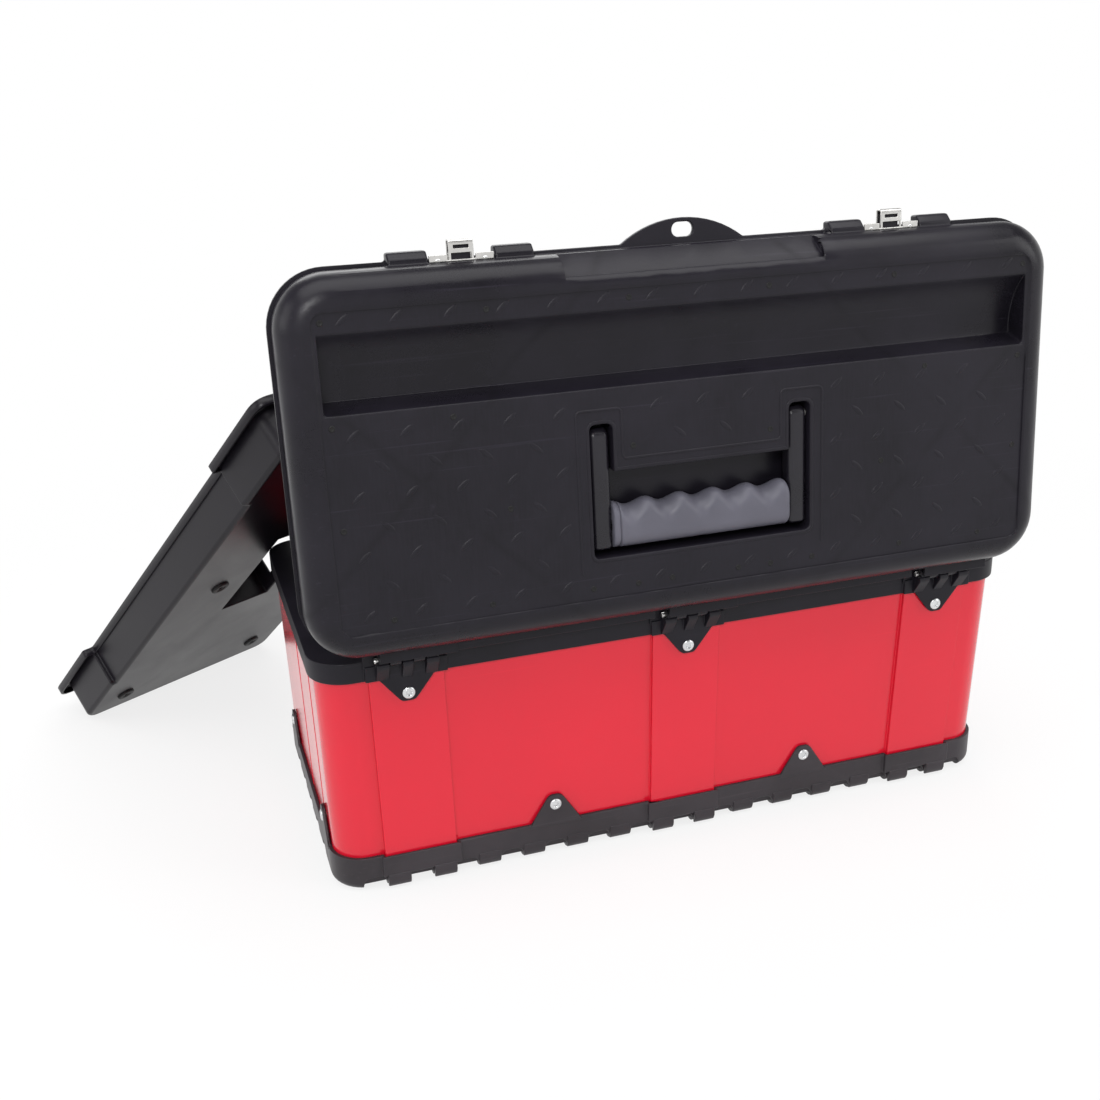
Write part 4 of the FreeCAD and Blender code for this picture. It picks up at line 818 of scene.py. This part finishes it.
def make_keeper(side, middle):
    """Seat, two riveted tabs and a loop, whose face has a slot above an open foot."""
    def upright(across, away, out):
        return on_lid(middle + across, away, out)

    def lying(across, out, away):
        return on_lid(middle + across, away, out)

    work = bmesh.new()
    plate(work, (-KEEPER_HALF, KEEPER_HALF), (KEEPER_BACK, KEEPER_FACE), {(0, 0)}, lying,
          KEEPER_SEAT, KEEPER_SEAT + SHEET)
    tabs = (-KEEPER_HALF, -LOOP_HALF - 1, LOOP_HALF + 1, KEEPER_HALF)
    plate(work, tabs, (KEEPER_SEAT, KEEPER_SEAT + TAB_TALL), {(0, 0), (2, 0)}, upright,
          KEEPER_FACE - SHEET, KEEPER_FACE)
    leg = LOOP_HALF - LOOP_LEG
    columns = (-LOOP_HALF, -leg, -SLOT_HALF, SLOT_HALF, leg, LOOP_HALF)
    rows = (KEEPER_SEAT, SILL, SLOT_LOW, SLOT_HIGH, LOOP_TOP - 1.8)
    filled = {(0, 0), (4, 0), (0, 2), (1, 2), (3, 2), (4, 2)}
    filled |= {(column, row) for column in range(5) for row in (1, 3)}
    plate(work, columns, rows, filled, upright, KEEPER_FACE - 0.2 - SHEET, KEEPER_FACE - 0.2)
    lofted(work, [loop_strap(middle + across) for across in (-LOOP_HALF, LOOP_HALF)])
    piece = rounded_off(built("keeper_sheet_" + side, work), 0.45)
    seat(piece, nickel, "nickel", "lid", "keeper_" + side)


LUG_HALF = 6.6
LUG_SECTION = ((4.7, 270.0), (8.4, 270.0), (8.4, 279.0), (7.4, 281.4), (5.2, 281.4), (4.7, 280.5))


def make_lugs():
    """The moulded tongue of the lid inside each keeper's loop."""
    work = bmesh.new()
    for middle in (-KEEPER_AT, KEEPER_AT):
        ends = (middle - LUG_HALF, middle + LUG_HALF)
        lofted(work, [[on_lid(across, away, out) for out, away in LUG_SECTION] for across in ends])
    seat(rounded_off(built("keeper_lugs", work), 0.4), black, "black_plastic", "lid")


make_keeper("left", -KEEPER_AT)
make_keeper("right", KEEPER_AT)
make_lugs()


# Skirt along the lid's rear edge, with a flap over each hinge and a notch at the pin's end

HINGE_AT = (-218.0, 0.0, 218.0)
FLAP_START, FLAP_STOP, NOTCH_STOP = -36.0, 20.0, 31.0
SKIRT_LOW, SKIRT_TOP = 1.0, 12.0
SKIRT_BACK, SKIRT_FACE = 5.35, 7.2
FLAP_LOW, FLAP_TOP, FLAP_FACE = 0.2, 8.6, 8.4


def make_skirt():
    work = bmesh.new()
    start = HINGE_AT[0] + FLAP_START
    for middle in HINGE_AT:
        stop = middle + FLAP_STOP
        plate(work, (start, stop), (SKIRT_LOW, SKIRT_TOP), {(0, 0)}, on_lid, SKIRT_BACK, SKIRT_FACE)
        flap = (middle + FLAP_START, stop)
        plate(work, flap, (FLAP_LOW, FLAP_TOP), {(0, 0)}, on_lid, SKIRT_BACK - 0.2, FLAP_FACE)
        start = middle + NOTCH_STOP
    seat(rounded_off(built("lid_rear_skirt", work), 0.6), black, "black_plastic", "lid")


# Ribs below each hinge, the wall behind the notch and the pins' heads

RIBS = ((-17.9, 4.5), (0.0, 3.8), (17.9, 4.5))
RIB_SECTION = (
    (140.5, 177.6), (142.0, 177.4), (150.3, 189.4), (150.6, 192.4), (149.6, 193.4), (140.5, 193.4),
)
BACK_WALL = (139.2, 140.6)
BACK_LOW, BACK_HIGH = 186.0, 198.6
PIN_HEAD = ((0, 0), (1.3, 0), (1.9, 0.3), (2.1, 0.9), (2.1, 2.6), (0, 2.6))
PIN_END = 23.6


def standing(x, z, y):
    """The point of the scene at a place on an upright wall, given in millimetres."""
    return Vector((x, y, z)) * MM


def make_hinge_ribs():
    work = bmesh.new()
    for middle in HINGE_AT:
        for centre, half in RIBS:
            ends = (middle + centre - half, middle + centre + half)
            lofted(work, [[standing(x, z, y) for y, z in RIB_SECTION] for x in ends])
        columns = (middle + FLAP_STOP, middle + NOTCH_STOP)
        plate(work, columns, (BACK_LOW, BACK_HIGH), {(0, 0)}, standing, *BACK_WALL)
    seat(rounded_off(built("hinge_ribs", work), 0.6), black, "black_plastic", "box")


def make_pin_heads():
    work = bmesh.new()
    for middle in HINGE_AT:
        for side in (-1, 1):
            spot = HINGE + Vector((middle + side * PIN_END, 0, 0)) * MM
            lathed(work, PIN_HEAD, spot, (-side, 0, 0), 24)
    seat(built("hinge_pin_heads", work), steel, "steel", "box")


make_skirt()
make_hinge_ribs()
make_pin_heads()


# Pads of the base between its notches

PAD_PITCH, PAD_HALF = 36.0, 8.8
PAD_SECTION = (
    (-3.0, 1.2), (-1.2, 1.6), (0.4, 4.0), (1.2, 6.5), (1.2, 10.2), (0.5, 12.6), (-3.0, 13.4),
)
BASE_FACE, BAND_STEP = 133.15, 3.2
BAND_HALF = 32.0


def make_pads():
    work = bmesh.new()
    for facing in (-1, 1):
        for step in range(-7, 7):
            middle = (step + 0.5) * PAD_PITCH
            on_band = min(abs(middle - hinge_x) for hinge_x in HINGE_AT) < BAND_HALF
            face = BASE_FACE + (BAND_STEP if on_band else 0)
            ends = (middle - PAD_HALF, middle + PAD_HALF)
            section = [(facing * (face + out), z) for out, z in PAD_SECTION]
            lofted(work, [[standing(x, z, y) for y, z in section] for x in ends])
    seat(rounded_off(built("base_pads", work), 0.8), base_black_lit, "black_plastic", "box")


make_pads()


# Lap seams on the end walls

SEAM_AT = (8.0, 78.0)
SEAM_WIDE, SEAM_PROUD = 1.1, 0.30
SEAM_LOW, SEAM_HIGH = 27.0, 178.0
SEAM_SECTION = (
    (-SEAM_WIDE, -0.3), (-SEAM_WIDE, 0), (-0.1, SEAM_PROUD), (0.15, SEAM_PROUD), (0.25, -0.3),
)


def make_seams(side, facing):
    points = [vert.co / MM for vert in frame["nodes"]["end_wrap_" + side].data.vertices]
    bottom, top = min(p.z for p in points), max(p.z for p in points)
    low = max(abs(p.x) for p in points if p.z < bottom + 1)
    high = max(abs(p.x) for p in points if p.z > top - 1)
    work = bmesh.new()
    for middle in SEAM_AT:
        rings = []
        for level in (SEAM_LOW, SEAM_HIGH):
            face = low + (high - low) * (level - bottom) / (top - bottom)
            section = [(facing * (face + out), middle + y) for y, out in SEAM_SECTION]
            rings.append([standing(x, level, y) for x, y in section])
        lofted(work, rings)
    seat(built("end_seams_" + side, work), red, "red_paint", "box")


make_seams("left", -1)
make_seams("right", 1)


# Chequer marks, dimples and the pocket's frame on the lid's face

MARK_PITCH, MARK_ROW = 35.0, 41.0
MARK_FIRST, MARK_OTHER, STRIP_ROW = 43.3, 62.8, 240.6
MARK_LONG, MARK_WIDE, MARK_TALL = 13.0, 4.0, 0.42
MARK_TURN = math.radians(40)
MARK_RINGS = ((1.0, -0.3), (0.94, 0.10), (0.66, 0.75), (0.30, 1.0))
MARK_STEPS = 16
FACE_HALF = 258.0


def lens(work, across, away, turn):
    """A low lens-shaped mark."""
    rings = []
    for share, height in MARK_RINGS:
        ring = []
        for step in range(MARK_STEPS):
            angle = 2 * math.pi * step / MARK_STEPS
            long = MARK_LONG / 2 * math.cos(angle) * share
            wide = MARK_WIDE / 2 * math.sin(angle) * abs(math.sin(angle)) ** 0.3 * share
            x = long * math.cos(turn) - wide * math.sin(turn)
            y = long * math.sin(turn) + wide * math.cos(turn)
            ring.append(on_lid(across + x, away + y, PANEL_LEVEL + MARK_TALL * height))
        rings.append(ring)
    lofted(work, rings)


CLEAR_ASIDE, CLEAR_BELOW = 103, 46
CLEAR_SILL, CLEAR_INSIDE = 137, 50


def clear_of_frame(across, away):
    """True where no part of the handle pocket's frame is near."""
    if abs(across) > CLEAR_ASIDE or away < CLEAR_BELOW:
        return True
    return away > CLEAR_SILL and abs(across) < CLEAR_INSIDE


def make_marks():
    work = bmesh.new()
    columns = int(FACE_HALF // MARK_PITCH)
    for column in range(-columns, columns + 1):
        for row in range(4):
            across, away = column * MARK_PITCH, MARK_FIRST + row * MARK_ROW
            if clear_of_frame(across, away):
                lens(work, across, away, -MARK_TURN)
        lens(work, column * MARK_PITCH, STRIP_ROW, -MARK_TURN)
        for row in range(3):
            across, away = (column + 0.5) * MARK_PITCH, MARK_OTHER + row * MARK_ROW
            if abs(across) < FACE_HALF and clear_of_frame(across, away):
                lens(work, across, away, MARK_TURN)
    seat(built("lid_marks", work, 60), lid_black, "black_plastic", "lid")


DIMPLES = [
    (26, 39), (52, 38.5), (86, 39), (160, 39), (229, 38.5), (143, 105), (257, 104), (52.5, 138.6),
    (258, 172.5), (178, 172), (259, 239.7), (151, 239.7), (52, 239.7),
]
DIMPLE_RING = ((0, 0.10), (1.0, 0.12), (1.35, 0.34), (1.75, 0.38), (2.1, 0.22), (2.3, -0.2), (0, -0.2))


def make_dimples():
    """Small round moulding marks: a low ring about a pit."""
    work = bmesh.new()
    for across, away in DIMPLES:
        for side in (-1, 1):
            lathed(work, DIMPLE_RING, on_lid(side * across, away, PANEL_LEVEL), LID_OUT, 20)
    # The dimples take the tray feet's darker, matter rubber: partly a matt finish, partly painted shade
    # in their pits.
    seat(built("lid_dimples", work, 60), foot_black, "black_plastic", "lid")


FRAME_OUT, FRAME_IN = 93.6, 60.6
FRAME_LOW, FRAME_TOP, FRAME_SILL = 50.0, 165.8, 130.3
FRAME_CORNER = 4.0
FRAME_SECTION = ((-1.0, -0.2), (-0.6, 0.5), (0.0, 0.65), (0.6, 0.5), (1.0, -0.2))


def make_pocket_frame():
    """A fine raised line round the handle pocket."""
    half = [(FRAME_OUT, FRAME_LOW), (FRAME_OUT, FRAME_TOP)]
    half += [(FRAME_IN, FRAME_TOP), (FRAME_IN, FRAME_SILL)]
    path = rounded_path(half + [(-across, away) for across, away in half[::-1]], FRAME_CORNER)
    rings = []
    for index, point in enumerate(path):
        ahead = path[min(index + 1, len(path) - 1)] - path[max(index - 1, 0)]
        normal = Vector((-ahead.y, ahead.x)).normalized()
        rings.append([
            on_lid(point.x + normal.x * aside, point.y + normal.y * aside, PANEL_LEVEL + out)
            for aside, out in FRAME_SECTION
        ])
    work = bmesh.new()
    lofted(work, rings)
    seat(built("pocket_frame", work, 60), lid_black, "black_plastic", "lid")


LINER_HALF, LINER_INNER = 84.05, 67.25
LINER_LOW, LINER_TOP, LINER_SILL = 60.25, 155.75, 121.75
POCKET_FLOOR = 7.0
LINER_CORNER, SILL_CORNER = 5.0, 1.0
LINER_SECTION = (
    (0, POCKET_FLOOR), (0, 29.3), (0.3, 30.1), (0.9, 30.5), (1.6, 30.6), (2.5, 30.45), (2.9, 30.1),
    (2.9, 29.6), (1.2, 29.6), (1.2, POCKET_FLOOR),
)


def make_pocket_liner():
    """The pocket's wall with its rounded corners and rolled edge."""
    half = [(LINER_HALF, LINER_LOW), (LINER_HALF, LINER_TOP)]
    half += [(LINER_INNER, LINER_TOP), (LINER_INNER, LINER_SILL)]
    points = half + [(-across, away) for across, away in half[::-1]]

    def radius_at(corner):
        return SILL_CORNER if corner[1] == LINER_SILL else LINER_CORNER

    def place(spot, out):
        return on_lid(spot.x, spot.y, out)

    work = bmesh.new()
    swept(work, rounded_loop(points, radius_at), LINER_SECTION, 1, place)
    seat(built("pocket_liner", work, 60), lid_black, "black_plastic", "lid")


make_marks()
make_dimples()
make_pocket_frame()
make_pocket_liner()


# Round feet under the tray

FOOT_R, FOOT_TALL = 8.3, 2.0


def foot_profile(radius, tall):
    """A foot with a rounded rim, a shallow dish and a small hole in its middle."""
    rim = [(0, 0), (radius, 0), (radius, tall - 0.9), (radius - 0.35, tall - 0.3), (radius - 1.0, tall)]
    dish = [(radius * 0.55, tall), (radius * 0.5, tall - 0.5), (2.0, tall - 0.6)]
    return rim + dish + [(1.7, tall - 1.6), (0, tall - 1.6)]


def make_tray_feet():
    work = bmesh.new()
    for points in solids_of("tray_feet"):
        middle = sum(points, Vector()) / len(points)
        reach = [(p - middle).dot(TRAY_OUT) for p in points]
        tall = (max(reach) - min(reach)) / MM
        top = middle + TRAY_OUT * max(reach)
        lathed(work, foot_profile(FOOT_R, tall), top, -TRAY_OUT)
    seat(built("tray_feet_turned", work, 50), foot_black, "foot_plastic", "tray", "tray_feet")


make_tray_feet()


# Turned-down lip round the tray's brim

TRAY_LONG, TRAY_EAR = 486.0, 82.5
BRIM_END, BRIM_EAR_HALF, BRIM_HALF = 9.5, 116.5, 106.5
LIP_LOW = 34.4
LIP_SECTION = (
    (-1.9, LIP_LOW), (-1.9, 40.8), (-1.5, 41.3), (-0.2, 41.3), (0.35, 40.8), (0.35, LIP_LOW + 0.4),
    (0.0, LIP_LOW),
)
BRIM_CORNER, STEP_CORNER = 15.0, 3.0


def tray_axes():
    """Foot of the tray, its way up the slope and its way across, from its feet's own places."""
    places = [sum(points, Vector()) / len(points) for points in solids_of("tray_feet")]
    middle = sum(places, Vector()) / len(places)
    across = TRAY_OUT.cross(Vector((0, 0, 1))).normalized()
    upward = across.cross(TRAY_OUT).normalized()
    if upward.z < 0:
        upward = -upward
    return middle + TRAY_OUT * FOOT_TALL / 2 * MM, upward, across


def make_tray_lip():
    centre, upward, across = tray_axes()
    start, stop = -BRIM_END - TRAY_LONG / 2, TRAY_LONG / 2 + BRIM_END
    near, far = TRAY_EAR - TRAY_LONG / 2, TRAY_LONG / 2 - TRAY_EAR
    side = [(start, BRIM_EAR_HALF), (near, BRIM_EAR_HALF), (near, BRIM_HALF)]
    side += [(far, BRIM_HALF), (far, BRIM_EAR_HALF), (stop, BRIM_EAR_HALF)]
    points = side + [(x, -y) for x, y in side[::-1]]

    def radius_at(corner):
        return BRIM_CORNER if abs(corner[0]) == stop else STEP_CORNER

    def place(spot, out):
        return centre + (upward * spot.x + across * spot.y + TRAY_OUT * out) * MM

    work = bmesh.new()
    swept(work, rounded_loop(points, radius_at), LIP_SECTION, -1, place)
    seat(built("tray_lip", work, 50), tray_black, "tray_plastic", "tray")


make_tray_lip()


# Steel on the pins, which stay as they are

PINS = (
    "hinge_pin_left", "hinge_pin_center", "hinge_pin_right",
    "clasp_pin_left", "clasp_pin_right", "handle_pin_left", "handle_pin_right",
)
for node in PINS:
    mesh = frame["nodes"][node].data
    mesh.materials.clear()
    mesh.materials.append(steel)


# Camera, fitted to the photograph
FOCUS_PX = 1290.164
IMAGE_PX = 1100
SENSOR = 36.0
YAW = 0.3031004
PITCH = 0.3586691
ROLL = -0.0314514
CAMERA_AT = Vector((0.366340, 0.966625, 0.582098))


def camera_axes():
    """The camera's right, top and back."""
    level = math.cos(PITCH)
    ahead = Vector((-math.sin(YAW) * level, -math.cos(YAW) * level, -math.sin(PITCH)))
    across = Vector((-math.cos(YAW), math.sin(YAW), 0))
    upward = across.cross(ahead)
    right = across * math.cos(ROLL) + upward * math.sin(ROLL)
    top = upward * math.cos(ROLL) - across * math.sin(ROLL)
    return right, top, -ahead


def make_camera():
    data = bpy.data.cameras.new("camera")
    data.sensor_width = SENSOR
    data.lens = SENSOR * FOCUS_PX / IMAGE_PX
    data.clip_start, data.clip_end = 0.05, 60
    camera = bpy.data.objects.new("camera", data)
    scene.collection.objects.link(camera)
    turn = Matrix(camera_axes()).transposed().to_4x4()
    camera.matrix_world = Matrix.Translation(CAMERA_AT) @ turn
    scene.camera = camera


# Studio

def seen_rays(nodes, links):
    """One for rays that show the background: camera, glossy and transmission rays."""
    path = nodes.new("ShaderNodeLightPath")
    total = path.outputs["Is Camera Ray"]
    for other in ("Is Glossy Ray", "Is Transmission Ray"):
        larger = nodes.new("ShaderNodeMath")
        larger.operation = "MAXIMUM"
        links.new(total, larger.inputs[0])
        links.new(path.outputs[other], larger.inputs[1])
        total = larger.outputs[0]
    return total


SKY_LIGHT = 0.45
SKY_TOP = 0.25
SKY_FROM, SKY_TO = 0.15, 0.55


def make_world():
    """White for what is seen near the horizon, darker overhead, and a plain even light."""
    world = bpy.data.worlds.new("studio")
    scene.world = world
    world.use_nodes = True
    nodes, links = world.node_tree.nodes, world.node_tree.links
    place = nodes.new("ShaderNodeTexCoord")
    axes = nodes.new("ShaderNodeSeparateXYZ")
    links.new(place.outputs["Generated"], axes.inputs["Vector"])
    rise = nodes.new("ShaderNodeMapRange")
    rise.interpolation_type = "SMOOTHSTEP"
    limits = {"From Min": SKY_FROM, "From Max": SKY_TO, "To Min": 1.0, "To Max": SKY_TOP}
    for key, value in limits.items():
        rise.inputs[key].default_value = value
    links.new(axes.outputs["Z"], rise.inputs["Value"])
    level = nodes.new("ShaderNodeMapRange")
    level.inputs["To Min"].default_value = SKY_LIGHT
    links.new(seen_rays(nodes, links), level.inputs["Value"])
    links.new(rise.outputs["Result"], level.inputs["To Max"])
    links.new(level.outputs["Result"], nodes["Background"].inputs["Strength"])
    nodes["Background"].inputs["Color"].default_value = (1, 1, 1, 1)


FLOOR_SIDE = 30
FLOOR_DROP = 0.0004
FLOOR_LOOK = {"Base Color": (0.72, 0.72, 0.72, 1), "Roughness": 0.9, "Specular IOR Level": 0.1}
SHADOW_SHARE = 0.80
SHADOW_REACH = (0.55, 1.30)


def make_floor():
    """A pale floor that keeps a soft shadow near the object and runs out to white."""
    mesh = bpy.data.meshes.new("floor")
    corners = [(x * FLOOR_SIDE, y * FLOOR_SIDE, 0) for x, y in ((-1, -1), (1, -1), (1, 1), (-1, 1))]
    mesh.from_pydata(corners, [], [(0, 1, 2, 3)])
    floor = link("floor", mesh)
    floor.location.z = -FLOOR_DROP
    material = bpy.data.materials.new("floor_white")
    material.use_nodes = True
    nodes, links = material.node_tree.nodes, material.node_tree.links
    shader = nodes["Principled BSDF"]
    for key, value in FLOOR_LOOK.items():
        shader.inputs[key].default_value = value
    glow = nodes.new("ShaderNodeEmission")
    place = nodes.new("ShaderNodeTexCoord")
    length = nodes.new("ShaderNodeVectorMath")
    length.operation = "LENGTH"
    links.new(place.outputs["Object"], length.inputs[0])
    white = nodes.new("ShaderNodeMapRange")
    white.interpolation_type = "SMOOTHSTEP"
    white.inputs["From Min"].default_value, white.inputs["From Max"].default_value = SHADOW_REACH
    white.inputs["To Min"].default_value = SHADOW_SHARE
    links.new(length.outputs["Value"], white.inputs["Value"])
    share = nodes.new("ShaderNodeMath")
    share.operation = "MULTIPLY"
    links.new(seen_rays(nodes, links), share.inputs[0])
    links.new(white.outputs["Result"], share.inputs[1])
    mixed = nodes.new("ShaderNodeMixShader")
    links.new(share.outputs[0], mixed.inputs[0])
    links.new(shader.outputs[0], mixed.inputs[1])
    links.new(glow.outputs[0], mixed.inputs[2])
    links.new(mixed.outputs[0], nodes["Material Output"].inputs["Surface"])
    mesh.materials.append(material)


# Name, place, target, size and watts
LAMPS = (
    ("key", (1.0, 2.2, 1.7), (0, 0, 0.25), (0.8, 0.6), 27),
    ("top", (0.0, 0.5, 2.3), (0, 0.1, 0.3), (3.0, 1.6), 46),
    ("fill", (-2.0, 1.5, 1.3), (0, 0, 0.2), (1.0, 1.6), 13),
    ("side", (2.3, 0.2, 1.2), (0, 0, 0.2), (1.4, 1.4), 12),
    ("front", (-0.2, -2.1, 1.8), (0, 0, 0.2), (2.0, 1.4), 24),
)


def make_lamp(name, place, target, size, watts):
    """A soft lamp that faces its target."""
    data = bpy.data.lights.new(name, "AREA")
    data.shape = "RECTANGLE"
    data.size, data.size_y = size
    data.energy = watts
    lamp = bpy.data.objects.new(name, data)
    scene.collection.objects.link(lamp)
    lamp.location = place
    lamp.rotation_euler = (Vector(target) - Vector(place)).to_track_quat("-Z", "Y").to_euler()


make_camera()
make_world()
make_floor()
for lamp in LAMPS:
    make_lamp(*lamp)
scene.view_settings.view_transform = "Standard"
